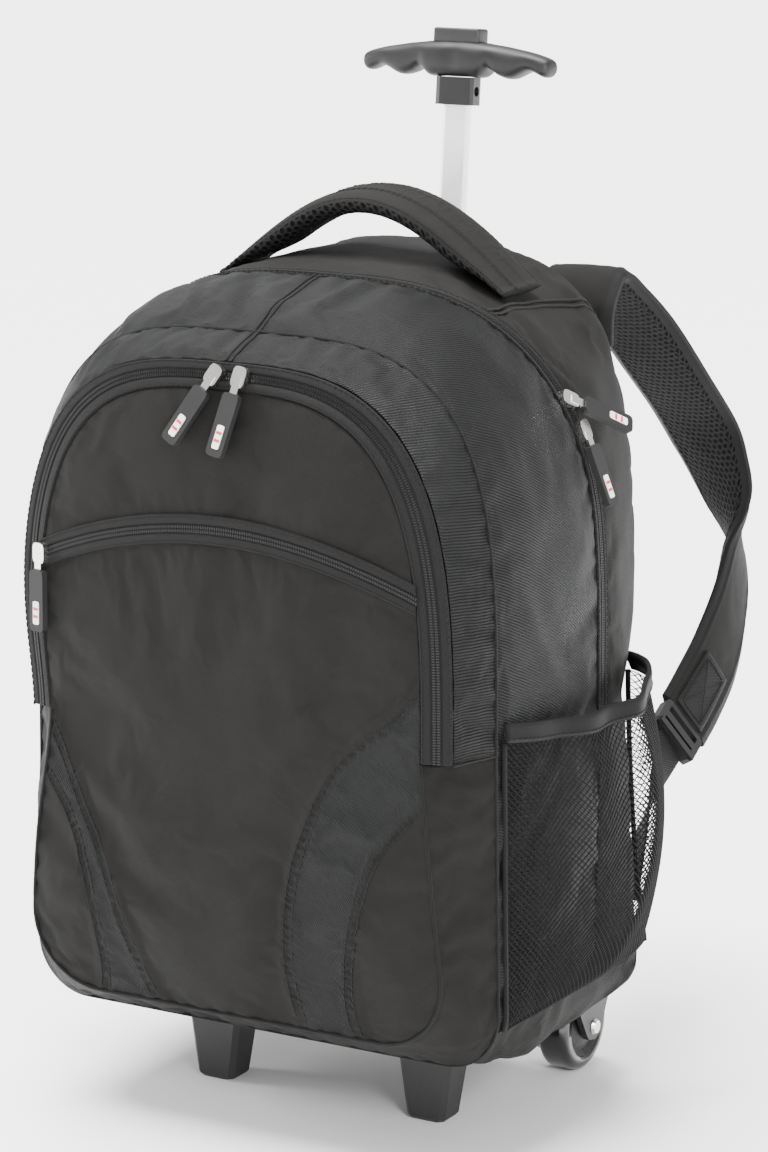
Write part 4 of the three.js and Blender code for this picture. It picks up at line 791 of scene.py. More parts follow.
def tube(name: str, path: Sequence[Vector], radius: float, form: BagForm, finish: Cloth | Hard,
         closed: bool = False) -> bpy.types.Object:
    """A round cord along a path in millimetres of the bag."""
    sides = 8
    count = len(path)
    grid: Grid = []
    side = Vector((0.3, 0.2, 0.9)).normalized()
    for index, point in enumerate(path):
        before = path[index - 1] if closed or index else point
        after = path[(index + 1) % count] if closed or index < count - 1 else point
        along = (after - before).normalized()
        side = (side - along * side.dot(along)).normalized()
        other = along.cross(side)
        turns = [2 * math.pi * k / sides for k in range(sides + 1)]
        grid.append([point + (side * math.cos(turn) + other * math.sin(turn)) * radius for turn in turns])
    if closed:
        grid.append([point.copy() for point in grid[0]])
    return closed_piece(name, grid, form, [finish])


@dataclass
class Stitching:
    """Rows of small stitches, gathered into one piece."""

    name: str
    form: BagForm
    length: float = 2.6
    pitch: float = 3.8
    thick: float = 0.55
    across: float = 0.55
    thread: Hard = THREAD
    mesh: bmesh.types.BMesh = field(default_factory=bmesh.new)

    def row(self, path: Sequence[Vector], outward: Callable[[Vector], Vector]) -> None:
        """Lays stitches along a path.

        Args:
            path: Points in millimetres of the bag.
            outward: Gives the cloth's normal at a point.
        """
        left = self.pitch / 2
        for first, second in zip(path, path[1:]):
            span = (second - first).length
            if span < 1e-6:
                continue
            while left < span:
                self.place(first.lerp(second, left / span), (second - first).normalized(), outward(first))
                left += self.pitch
            left -= span

    def place(self, point: Vector, along: Vector, normal: Vector) -> None:
        """Lays one stitch."""
        up = (normal - along * normal.dot(along)).normalized()
        side = along.cross(up)
        turn = Matrix((along, side, up)).transposed().to_4x4()
        size = Matrix.Diagonal((self.length * MM, self.across * MM, self.thick * MM, 1))
        place = Matrix.Translation(self.form.world(point + up * self.thick * 0.1))
        bmesh.ops.create_cube(self.mesh, size=1, matrix=place @ turn @ size)

    def finish(self, body: str = BODY) -> bpy.types.Object:
        """The rows as one piece."""
        return finish_mesh(self.name, self.mesh, [self.thread], body, smooth=False)


@dataclass
class Station:
    """A place along a strap, with its face's direction, its width and its thickness."""

    place: Vector
    look: Vector
    width: float
    thick: float


def frame_at(stations: Sequence[Station], index: int) -> tuple[Vector, Vector, Vector]:
    """Along, across and up at a station."""
    before = stations[max(index - 1, 0)].place
    after = stations[min(index + 1, len(stations) - 1)].place
    along = (after - before).normalized()
    look = stations[index].look
    up = (look - along * look.dot(along)).normalized()
    return along, along.cross(up), up


def strap_grid(stations: Sequence[Station], profile: Sequence[tuple[float, float]],
               relief: Callable[[float, float, bool], float] = lambda run, x, upper: 0.0) -> Grid:
    """Rows of points round a strap.

    Args:
        stations: The run of the strap.
        profile: The ring's points, x in half widths and z in half thicknesses.
        relief: How far a point stands proud in millimetres, given its share of the run, its share of the
            half width, and whether it is on the upper face.

    Returns:
        One row for each station, its last point on its first.
    """
    grid: Grid = []
    for index, station in enumerate(stations):
        _, across, up = frame_at(stations, index)
        run = index / (len(stations) - 1)
        ring = []
        for x, z in profile:
            proud = math.copysign(relief(run, x, z > 0), z)
            ring.append(station.place + across * x * station.width / 2 + up * (z * station.thick / 2 + proud))
        grid.append([*ring, ring[0].copy()])
    return grid


def pad_profile(count: int, edge: float = 0.12, crown: float = 0.85) -> list[tuple[float, float]]:
    """A padded strap's ring: crowned faces that pull in towards a flat sewn edge."""
    points = []
    for step in range(count + 1):
        x = 1 - 2 * step / count
        puff = (1 - abs(x) ** 5) ** 0.5
        points.append((x, max(edge, crown * puff + (1 - crown) * (1 - x * x))))
    lower = [(x, -z) for x, z in reversed(points)]
    return points + lower


def sweep(name: str, stations: Sequence[Station], profile: Sequence[tuple[float, float]], form: BagForm,
          finishes: Sequence[Cloth | Hard], slots: Callable[[int, int], int] | None = None,
          relief: Callable[[float, float, bool], float] = lambda run, x, upper: 0.0) -> bpy.types.Object:
    """A closed strap along its stations."""
    return closed_piece(name, strap_grid(stations, profile, relief), form, finishes, slots=slots)


def settle(target: bpy.types.Object, grow: float, pressure: float, cap: float,
           hold: Callable[[Vector], bool] = lambda point: False,
           share: Callable[[Vector], float] = lambda point: 1.0, steps: int = 12) -> None:
    """Lets cloth that is cut a little too large buckle between its seams, by simulation.

    Args:
        target: An open cloth whose edges are sewn down.
        grow: How much larger than its place the cloth is cut, as a share.
        pressure: How hard what is in the bag presses it outwards.
        cap: The furthest that a point moves, in millimetres.
        hold: Says for a point in the frame whether a seam holds it.
        share: How much of its move a point in the frame makes.
        steps: How many frames it settles for.
    """
    mesh = target.data
    shape = bmesh.new()
    shape.from_mesh(mesh)
    held = [vert.index for vert in shape.verts if vert.is_boundary or hold(vert.co)]
    shape.free()
    before = [vert.co.copy() for vert in mesh.vertices]
    group = target.vertex_groups.new(name="held")
    group.add(held, 1.0, "REPLACE")
    cloth = target.modifiers.new("cloth", "CLOTH")
    rules = cloth.settings
    rules.quality = 4
    rules.mass = 0.3
    rules.vertex_group_mass = group.name
    rules.tension_stiffness = 20
    rules.compression_stiffness = 20
    rules.shear_stiffness = 8
    rules.bending_stiffness = 0.2
    rules.shrink_min = -grow
    rules.use_pressure = True
    rules.uniform_pressure_force = pressure
    rules.effector_weights.gravity = 0
    cloth.collision_settings.use_collision = False
    cloth.point_cache.frame_end = steps
    for step in range(1, steps + 1):
        bpy.context.scene.frame_set(step)
    settled = target.evaluated_get(bpy.context.evaluated_depsgraph_get())
    after = [vert.co.copy() for vert in settled.data.vertices]
    target.modifiers.remove(cloth)
    target.vertex_groups.remove(group)
    for vert, old, new in zip(mesh.vertices, before, after):
        move = new - old
        far = max(move.length, 1e-9)
        vert.co = old + move * (share(old) * cap * MM * math.tanh(far / (cap * MM)) / far)
    bpy.context.scene.frame_set(1)
    log.info("%s: settled", target.name)


@dataclass
class Skin:
    """The bag's finished cloths, on which seams and stitches are laid."""

    form: BagForm
    corners: list[Vector] = field(default_factory=list)
    faces: list[tuple[int, ...]] = field(default_factory=list)
    tree: BVHTree | None = None

    def add(self, piece: bpy.types.Object) -> None:
        """Takes a cloth in; its faces look outwards."""
        start = len(self.corners)
        self.corners += [vert.co.copy() for vert in piece.data.vertices]
        self.faces += [tuple(start + index for index in face.vertices) for face in piece.data.polygons]
        self.tree = None

    def touch(self, point: Vector, reach: float = 12.0) -> tuple[Vector, Vector]:
        """The nearest place on the cloths and its normal, in millimetres of the bag."""
        if self.tree is None:
            self.tree = BVHTree.FromPolygons(self.corners, self.faces)
        place, normal, _, _ = self.tree.find_nearest(self.form.world(point), reach * MM)
        if place is None:
            return point, (point - Vector((0, 115, 250))).normalized()
        return place / MM - Vector((0, self.form.shift, 0)), normal

    def lay(self, path: Sequence[Vector], stand: float) -> list[Vector]:
        """The path laid on the cloths, standing proud of them."""
        laid = []
        for point in path:
            place, normal = self.touch(point)
            laid.append(place + normal * stand)
        return laid


def modify(target: bpy.types.Object, kind: str, **settings: object) -> bpy.types.Modifier:
    """Adds a modifier with its settings."""
    modifier = target.modifiers.new(kind.lower(), kind)
    for key, value in settings.items():
        setattr(modifier, key, value)
    return modifier


def node(name: str) -> bpy.types.Object:
    """The CAD node's object."""
    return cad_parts[name]


def dress_node(name: str, finish: Cloth | Hard, bevel: float = 0.0, segments: int = 2) -> None:
    """Gives a CAD node its finish and soft edges; bevel is in millimetres."""
    target = node(name)
    target.data.materials.clear()
    target.data.materials.append(finish.material())
    if bevel:
        modify(target, "BEVEL", width=bevel * MM, segments=segments, limit_method="ANGLE",
               angle_limit=math.radians(28), harden_normals=False)
    log.info("%s: CAD node", name)


# The bag's cloth


@dataclass
class Body:
    """The bag's panels, seams and zips."""

    form: BagForm
    columns: int = 200
    zip_width: float = 13
    face_zip_height: float = 364
    face_zip_drop: float = 28
    face_zip_width: float = 17
    stitches: Stitching = field(init=False)
    skin: Skin = field(init=False)
    rim: list[tuple[float, float]] = field(init=False)
    middle: Vector = field(default_factory=lambda: Vector((0, 115, 250)))

    def __post_init__(self) -> None:
        """Starts the seams' stitches and measures the face."""
        self.stitches = Stitching("seam_stitches", self.form)
        self.skin = Skin(self.form)
        self.rim = self.measure_rim()

    def ripple(self, point: Vector, from_start: float, from_end: float) -> float:
        """How far the cloth stands proud at a point: folds, slack and puckers at its seams."""
        slack = noise.noise(point * 0.02) * 1.5 + noise.noise(point * 0.055 + Vector((7, 3, 1))) * 0.55
        seam = noise.noise(Vector((point.x, point.z, point.y)) * 0.09)
        pucker = 0.7 * seam * (bell(from_start - 6, 10) + bell(from_end - 6, 10))
        inside = min(1.0, from_start / 9, from_end / 9)
        total = (slack + pucker) * max(0.0, inside)
        for fold in self.form.folds:
            gap = point - Vector(fold.place)
            run = Vector(fold.run).normalized()
            along = gap.dot(run)
            away = (gap - run * along).length
            if away < 3 * fold.width and abs(along) < 2 * fold.length:
                shape = bell(away, fold.width) * bell(along, fold.length)
                total += fold.height * shape * min(1.0, inside * 1.5)
        return total

    def panel(self, name: str, grid: Grid, finish: Cloth, *replaced: str) -> bpy.types.Object:
        """A sewn panel with folds and a real thickness."""
        raised = relieve(grid, self.middle, self.ripple)
        mesh = grid_mesh(raised, self.form)
        face_outward(mesh, self.form.world(self.middle))
        made = finish_mesh(name, mesh, [finish])
        settle(made, 0.014, 1.5, 3.5)
        self.skin.add(made)
        modify(made, "SOLIDIFY", thickness=1.2 * MM, offset=-1)
        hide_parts(*replaced)
        return made

    def arch(self, name: str, low: float) -> Outline:
        """A section's arch above a height."""
        return self.form.part(name).arch(low, self.columns)

    def build_gussets(self) -> None:
        """The main gusset, the front gusset and the lower gusset."""
        form = self.form
        low = form.base_seam + GAP / 2
        names = ("corner_seam", "middle", "zip")
        front = form.part("corner_seam").depth

        def main_depth(row: int, z: float) -> float:
            side = GAP / 2 if z < form.shoulder else self.zip_width / 2
            return lerp(front, form.zip_depth(z) - side, row / 2)

        grid = form.loft(names, [self.arch(name, low) for name in names], 56, main_depth)
        self.panel("main_gusset_cloth", grid, TWILL, "main_gusset")
        shoulder = form.shoulder + GAP / 2
        names = ("zip_edge", "corner_seam")
        start = form.part("zip_edge").depth + 1
        grid = form.loft(names, [self.arch(name, shoulder) for name in names], 20,
                         lambda row, z: start if row == 0 else front)
        self.panel("front_gusset_cloth", grid, TWILL, "front_gusset")
        face = form.part("face")
        names = ("face", "corner_seam")
        outlines = [form.part(name).trough(form.shoulder - GAP / 2, self.columns) for name in names]
        grid = form.loft(names, outlines, 24, lambda row, z: face.depth_at(z) if row == 0 else front)
        self.panel("lower_gusset_cloth", grid, PLAIN, "lower_gusset")

    def build_rear(self) -> None:
        """The rear body, open where the pole passes, and the base panel."""
        form = self.form
        names = ("zip", "rear", "edge", "turn", "back")

        def depths(row: int, z: float) -> float:
            if row == 0:
                return form.zip_depth(z) + (GAP / 2 if z < form.shoulder else self.zip_width / 2)
            return form.part(names[row]).depth_at(z)

        low = form.base_seam + GAP / 2
        grid = form.loft(names, [self.arch(name, low) for name in names], 60, depths)
        made = self.panel("rear_body_cloth", grid, PLAIN, "rear_body")
        self.open_pole_hole(made)
        under = ("corner_seam", "middle", "zip", "rear", "edge", "turn", "back")
        outlines = [form.part(name).trough(form.base_seam - GAP / 2, 150) for name in under]
        grid = form.loft(under, outlines, 60, lambda row, z: form.part(under[row]).depth_at(z))
        self.panel("base_cloth", grid, PLAIN, "base_panel")

    @staticmethod
    def open_pole_hole(cloth: bpy.types.Object) -> None:
        """Takes out the faces of the rear cloth where the pole's guide comes through."""
        low, high = (Vector(corner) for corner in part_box("pole_guide"))
        side_room, front_room, sunk = 3.2 * MM, 11.6 * MM, 3 * MM
        axis = high.y - 7 * MM
        shape = bmesh.new()
        shape.from_mesh(cloth.data)
        holes = []
        for face in shape.faces:
            centre = face.calc_center_median()
            beside = low.x - side_room < centre.x < high.x + side_room
            if beside and centre.z > high.z - sunk and abs(centre.y - axis) < front_room:
                holes.append(face)
        bmesh.ops.delete(shape, geom=holes, context="FACES")
        shape.to_mesh(cloth.data)
        shape.free()

    # The face

    def outline(self) -> Outline:
        """The face's whole outline, from the right shoulder over the top and round the base."""
        cut = self.form.part("face")
        return cut.arch(self.form.shoulder, 180) + cut.trough(self.form.shoulder, 140)[1:]

    def face_depth(self, x: float, z: float) -> float:
        """y of the crowned face at a place."""
        reach, height = self.rim[self.rim_index(x, z, len(self.rim))]
        share = clamp(math.hypot(x, z - self.form.shoulder) / reach)
        return self.form.part("face").depth_at(height) * share**3 - self.form.bulge * (1 - share**2.4)

    def rim_index(self, x: float, z: float, count: int) -> int:
        """Which of count directions from the face's middle a place lies in."""
        angle = math.atan2(z - self.form.shoulder, x)
        return int((angle + math.pi) / (2 * math.pi) * count) % count

    def measure_rim(self) -> list[tuple[float, float]]:
        """For each direction from the face's middle, how far its edge is and at which height."""
        count = 720
        table: list[tuple[float, float]] = [(0.0, 0.0)] * count
        for x, z in evenly(self.outline(), 3000):
            table[self.rim_index(x, z, count)] = (math.hypot(x, z - self.form.shoulder), z)
        for index in range(count):
            if table[index][0] == 0:
                table[index] = table[index - 1]
        return table

    def seam_lines(self) -> dict[str, list[tuple[float, float]]]:
        """The curved panels' seams as x and z."""
        width = self.form.part("face").width
        rows = {
            "outer": (1, [(1.12, 1.28), (1.01, 1.215), (0.88, 1.12), (0.62, 0.96), (0.49, 0.8), (0.39, 0.62),
                          (0.34, 0.43), (0.335, 0.26), (0.375, 0.1), (0.4, 0)]),
            "inner": (1, [(1.2, 1.0), (1.01, 0.87), (0.88, 0.785), (0.775, 0.685), (0.69, 0.52), (0.64, 0.33),
                          (0.63, 0.21), (0.66, 0.1), (0.68, 0)]),
            "left": (-1, [(1.15, 1.18), (1.03, 1.05), (0.92, 0.935), (0.84, 0.84), (0.735, 0.695),
                          (0.655, 0.58), (0.56, 0.37), (0.45, 0.16), (0.36, 0)]),
        }
        rows["left_inner"] = (-1, [(x + 0.06, z) for x, z in rows["inner"][1]])
        lines = {}
        for name, (side, table) in rows.items():
            smooth = [
                (side * spline([x for x, _ in table], i / 60) * width,
                 lerp(self.form.base, self.form.shoulder, spline([z for _, z in table], i / 60)))
                for i in range(61)
            ]
            lines[name] = smooth
        return lines

    def inside_face(self, x: float, z: float, margin: float = 1.0) -> bool:
        """Whether a place is on the face, a margin inside its edge."""
        reach = self.rim[self.rim_index(x, z, len(self.rim))][0]
        return math.hypot(x, z - self.form.shoulder) < reach - margin

    def zip_line(self, x: float) -> float:
        """The height of the face zip's middle at x."""
        return self.face_zip_height - self.face_zip_drop * (x / self.form.part("face").width) ** 2

    def build_face(self) -> None:
        """The front face: one crowned cloth with its curved panels, grooved along the seams."""
        form = self.form
        outline = self.outline()
        lines = self.seam_lines()
        shares = [0.01 + 0.99 * (i / 78) ** 0.85 for i in range(79)]
        grid: Grid = []
        for share in shares:
            row = []
            for x, z in outline:
                px = x * share
                pz = lerp(form.shoulder, z, share)
                y = form.part("face").depth_at(z) * share**3 - form.bulge * (1 - share**2.4)
                row.append(Vector((px, y, pz)))
            grid.append(row)

        def away(point: Vector, line: list[tuple[float, float]]) -> float:
            return min(math.hypot(point.x - x, point.z - z) for x, z in line)

        def height(point: Vector, from_start: float, from_end: float) -> float:
            total = self.ripple(point, 100, max(from_end, 0.0)) * 0.8
            below = self.zip_line(point.x) - point.z
            if 8 < below < 70:
                gather = noise.noise(Vector((point.x * 0.075, 3.3, 0)))
                total += 1.3 * gather * bell(below - 8, 26)
            for line in lines.values():
                gap = away(point, line)
                if gap < 9:
                    total += 0.5 * bell(gap - 4, 3) - 1.3 * bell(gap, 1.6)
            return total

        raised = relieve(grid, self.middle, height, closed=True)
        mesh = grid_mesh(raised, form, close_columns=True)
        twill = self.twill_test(lines)
        for face in mesh.faces:
            centre = face.calc_center_median() / MM
            face.material_index = 1 if twill(centre.x, centre.z) else 0
        flat_map(mesh)
        fill_middle(mesh, 2)
        face_outward(mesh, form.world(self.middle))
        made = finish_mesh("front_face_cloth", mesh, [PLAIN, TWILL])

        def sewn(point: Vector) -> bool:
            place = Vector((point.x, 0, point.z)) / MM
            on_zip = abs(self.zip_line(place.x) - place.z) < self.face_zip_width / 2
            return on_zip or any(away(place, line) < 1.5 for line in lines.values())

        centre = form.world(Vector((0, 0, form.shoulder)))
        settle(made, 0.014, 1.5, 3.5, sewn, lambda point: ease((point - centre).length / MM, 12, 75))
        self.skin.add(made)
        modify(made, "SOLIDIFY", thickness=1.2 * MM, offset=-1)
        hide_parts("front_panel_upper", "front_panel_lower", "curved_panel_left", "curved_panel_right",
                    "corner_panel_left", "corner_panel_right")
        for name, line in lines.items():
            for offset in (-2.6, 2.6):
                path = []
                for index, (x, z) in enumerate(line):
                    (x0, z0), (x1, z1) = line[max(index - 1, 0)], line[min(index + 1, len(line) - 1)]
                    length = math.hypot(x1 - x0, z1 - z0)
                    px = x + (z1 - z0) / length * offset
                    pz = z - (x1 - x0) / length * offset
                    if self.inside_face(px, pz, 2.0):
                        path.append(Vector((px, self.face_depth(px, pz) - 1.0, pz)))
                if len(path) > 2:
                    self.stitches.row(self.skin.lay(path, 0.15), lambda point: Vector((0, -1, 0)))

    @staticmethod
    def twill_test(lines: dict[str, list[tuple[float, float]]]) -> Callable[[float, float], bool]:
        """A test of whether a place on the face lies in a curved twill panel."""

        def reach(line: list[tuple[float, float]], z: float) -> float:
            for (x0, z0), (x1, z1) in zip(line, line[1:]):
                if z1 <= z <= z0:
                    return abs(lerp(x1, x0, (z - z1) / max(z0 - z1, 1e-6)))
            return 1e9

        def test(x: float, z: float) -> bool:
            outer, inner = ("outer", "inner") if x > 0 else ("left", "left_inner")
            return reach(lines[outer], z) < abs(x) < reach(lines[inner], z)

        return test

    # Zips

    def tape(self, name: str, edges: Sequence[tuple[Vector, Vector, Vector]], replaced: str) -> None:
        """A covered zip: two lips of tape that meet over the coil.

        Args:
            name: The piece's name.
            edges: For each place along, one edge, the other edge and the outward normal.
            replaced: The CAD node that it stands for.
        """
        lip = [(0, -0.2), (0.03, 0.7), (0.08, 0.9), (0.16, 1.0), (0.28, 0.95), (0.32, 0.6), (0.345, -0.2),
               (0.38, 0.3), (0.44, 0.45)]
        profile = [*lip, (0.5, 0.25), *((1 - share, height) for share, height in reversed(lip))]
        grid: Grid = []
        for one, other, normal in edges:
            grid.append([one.lerp(other, share) + normal * height for share, height in profile])
        mesh = grid_mesh(grid, self.form)
        face_outward(mesh, self.form.world(self.middle))
        made = finish_mesh(name, mesh, [TAPE])
        modify(made, "SOLIDIFY", thickness=1.0 * MM, offset=-1)
        modify(made, "SUBSURF", levels=1, render_levels=1)
        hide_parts(replaced)
        width = (edges[0][1] - edges[0][0]).length
        teeth = Stitching(f"{name}_teeth", self.form, 0.75, 1.5, 0.6, 0.09 * width, COIL)
        for rows, share, height in ((self.stitches, 0.07, 0.9), (self.stitches, 0.93, 0.9),
                                    (teeth, 0.43, 0.45), (teeth, 0.57, 0.45)):
            path = [one.lerp(other, share) + normal * height for one, other, normal in edges]
            normals = {id(point): edge[2] for point, edge in zip(path, edges)}
            rows.row(path, lambda point: normals[id(point)])
        teeth.finish()

    def build_zips(self) -> None:
        """The front zip, the main zip and the face zip."""
        form = self.form
        low = form.shoulder + GAP / 2
        inside = form.part("face").arch(low, 170)
        outside = form.part("zip_edge").arch(low, 170)
        back = form.part("zip_edge").depth
        edges = []
        for (x0, z0), (x1, z1) in zip(inside, outside):
            one, other = Vector((x0, 0, z0)), Vector((x1, back, z1))
            across = (other - one).normalized()
            normal = (Vector((0, -1, 0)) + across * across.y).normalized()
            edges.append((one, other, normal))
        self.tape("front_zip_tape", edges, "front_zip")
        arch = form.part("zip").arch(low, 170)
        reach = self.zip_width / 2 - GAP
        edges = []
        for index, (x, z) in enumerate(arch):
            (x0, z0), (x1, z1) = arch[max(index - 1, 0)], arch[min(index + 1, len(arch) - 1)]
            normal = Vector((z1 - z0, 0, -(x1 - x0))).normalized()
            depth = form.zip_depth(z)
            edges.append((Vector((x, depth - reach, z)), Vector((x, depth + reach, z)), normal))
        self.tape("main_zip_tape", edges, "main_zip")
        reach = 0.985 * form.part("face").width
        half, proud = self.face_zip_width / 2, 0.9
        edges = []
        for index in range(141):
            x = lerp(-reach, reach, index / 140)
            heights = (self.zip_line(x) - half, self.zip_line(x) + half)
            low_edge, high_edge = (Vector((x, self.face_depth(x, z) - proud, z)) for z in heights)
            edges.append((low_edge, high_edge, Vector((0, -1, 0))))
        self.tape("face_zip_tape", edges, "face_zip")

    def build_seams(self) -> None:
        """Piping along the seams where the panels join."""
        form = self.form
        front = form.part("corner_seam")
        loop = [Vector((x, front.depth, z)) for x, z in front.arch(form.base_seam, 160)]
        loop += [Vector((x, front.depth, z)) for x, z in front.trough(form.base_seam, 90)[1:-1]]
        tube("corner_seam_piping", loop, 1.0, form, BINDING, closed=True)
        face = form.part("face")
        rim = [Vector((x, face.depth_at(z) - 0.2, z)) for x, z in face.trough(form.shoulder, 130)]
        tube("face_rim_piping", rim, 1.1, form, BINDING)
        back = form.part("back")
        loop = [Vector((x, back.depth_at(z), z)) for x, z in back.arch(form.base_seam, 120)]
        loop += [Vector((x, back.depth_at(z), z)) for x, z in back.trough(form.base_seam, 80)[1:-1]]
        tube("back_rim_piping", loop, 1.8, form, BINDING, closed=True)
        for side, name in ((1, "right"), (-1, "left")):
            path = []
            for step in range(60):
                y = lerp(front.depth, form.part("turn").depth_at(form.base_seam), step / 59)
                path.append(Vector((side * (form.side_at(y, form.base_seam) - 0.2), y, form.base_seam)))
            tube(f"base_seam_piping_{name}", path, 1.0, form, BINDING)
            path = []
            for step in range(50):
                z = lerp(form.base_seam, form.shoulder, step / 49)
                path.append(Vector((side * (form.part("zip").side(z) - 0.1), form.zip_depth(z), z)))
            tube(f"side_seam_piping_{name}", path, 0.8, form, BINDING)
            path = []
            for step in range(20):
                share = step / 19
                edge = form.part("zip_edge")
                drawn_in = edge.hollow(form.shoulder) if side < 0 else 0
                x = lerp(edge.width, front.width, share) - drawn_in * (1 - share)
                path.append(Vector((side * x, lerp(edge.depth, front.depth, share), form.shoulder)))
            tube(f"gusset_seam_piping_{name}", path, 0.8, form, BINDING)

    def build_top_seams(self) -> None:
        """The seam over the gussets' middle, and the seams across the top at the handle's ends."""
        form = self.form
        cuts = [form.part("zip_edge"), form.part("corner_seam"), form.part("middle"), form.part("zip")]
        depths = [cuts[0].depth + 1, cuts[1].depth, lerp(cuts[1].depth, form.zip_depth(cuts[3].top), 0.5),
                  form.zip_depth(cuts[3].top) - self.zip_width / 2]
        for offset in (-1.6, 1.6):
            path = []
            for step in range(31):
                share = step / 30
                y, z = (spline(values, share) for values in (depths, [cut.top for cut in cuts]))
                path.append(Vector((offset, y, z + 0.3)))
            name = "middle_seam_left" if offset < 0 else "middle_seam_right"
            tube(name, self.skin.lay(path, 0.2), 0.7, form, TWILL)
        handle = 97.0
        for side, name in ((-1, "left"), (1, "right")):
            for number, offset in enumerate((0.0, 3.4)):
                path = []
                for step in range(41):
                    x = side * (handle + offset + 6 * (step / 40) ** 2)
                    start = form.zip_depth(form.top_at(x, 110)) + self.zip_width / 2
                    y = lerp(start, form.part("edge").depth + 38, step / 40)
                    path.append(Vector((x, y, form.top_at(x, y) + 0.5)))
                radius = 1.1 - 0.3 * number
                tube(f"handle_seam_{name}_{number}", self.skin.lay(path, 0.3), radius, form, BINDING)

    def build(self) -> None:
        """Everything of the bag's body."""
        self.build_gussets()
        self.build_rear()
        self.build_face()
        self.build_zips()
        self.build_seams()
        self.build_top_seams()
        self.stitches.finish()
        dress_node("divider_panel", LINING)


# Straps, handle, pockets


@dataclass
class CarryHandle:
    """The padded handle on top: smooth cloth over an air-mesh underside."""

    form: BagForm
    width: float = 48
    span: float = 190
    thick: float = 14
    tab: float = 5
    crown: float = 536
    depth: float = 170

    def stations(self, steps: int) -> list[Station]:
        """The handle's run from left to right."""
        form = self.form
        found = []
        ends = form.top_at(self.span / 2, self.depth) + self.tab
        for step in range(steps + 1):
            share = 2 * step / steps - 1
            x = share * self.span / 2
            front = form.top_at(x, self.depth - self.width / 2)
            back = form.top_at(x, self.depth + self.width / 2)
            free = ease(1 - abs(share), 0.04, 0.4)
            thick = lerp(self.tab, self.thick, free)
            tilt = lerp((back - front) / self.width, 0.06, free)
            resting = max(form.top_at(x, self.depth), (front + back) / 2) + 1.2 + thick / 2
            arched = lerp(ends, self.crown, math.cos(share * math.pi / 2)) - thick / 2
            found.append(Station(Vector((x, self.depth, max(resting, arched))), Vector((0, -tilt, 1)),
                                 lerp(self.width * 0.94, self.width, free), thick))
        return found

    def build(self) -> None:
        """The handle and its stitches."""
        count = 36
        profile = pad_profile(count, 0.25)
        stations = self.stations(220)
        seam = -0.36

        def relief(run: float, x: float, upper: bool) -> float:
            if not upper:
                return 0.25 * noise.noise(Vector((run * 160, x * 9, 2)))
            groove = -0.9 * bell(x - seam, 0.05)
            gather = 0.55 * noise.noise(Vector((run * 95, x * 2.2, 5))) * (0.35 + bell(x - seam, 0.5))
            return groove + gather * ease(1 - abs(2 * run - 1), 0.02, 0.2)

        made = sweep("carry_handle_pad", stations, profile, self.form, [PLAIN, AIR],
                     lambda row, column: 1 if column > count else 0, relief)
        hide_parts("carry_handle")
        rows = Stitching("handle_stitches", self.form)
        for share in (seam - 0.05, seam + 0.05, -0.93, 0.93):
            path = []
            puff = 0.85 * (1 - abs(share) ** 5) ** 0.5 + 0.15 * (1 - share**2)
            for index, station in enumerate(stations):
                _, across, up = frame_at(stations, index)
                aside, raised = share * station.width / 2, puff * station.thick / 2
                path.append(station.place - across * aside + up * raised)
            rows.row(path, lambda point: Vector((0, 0, 1)))
        rows.finish()


STRAP_RUN: tuple[tuple[float, ...], ...] = (
    (0.46, -0.015, 0.93, 0, -1, 0.1, 0),
    (0.465, -0.004, 0.98, 0, -0.8, 0.6, 0),
    (0.475, 0.1, 1.012, 0, 0.3, 1, 0),
    (0.49, 0.25, 0.985, 0, 0.55, 0.85, 0),
    (0.52, 0.44, 0.935, 0, 0.7, 0.7, 0),
    (0.555, 0.66, 0.865, 0.05, 0.85, 0.5, 0),
    (0.585, 0.9, 0.79, 0.12, 0.95, 0.28, 0),
    (0.62, 1.0, 0.735, 0.3, 0.93, 0.1, 0),
    (0.665, 1.05, 0.675, 0.55, 0.8, 0, 0.05),
    (0.72, 1.02, 0.602, 0.93, 0.25, 0, 0.3),
    (0.765, 0.87, 0.535, 0.95, 0.02, 0.1, 0.5),
    (0.8, 0.66, 0.483, 0.93, -0.16, 0.22, 0.7),
    (0.83, 0.42, 0.447, 0.9, -0.25, 0.35, 0.9),
    (0.85, 0.25, 0.427, 0.87, -0.3, 0.4, 1),
)


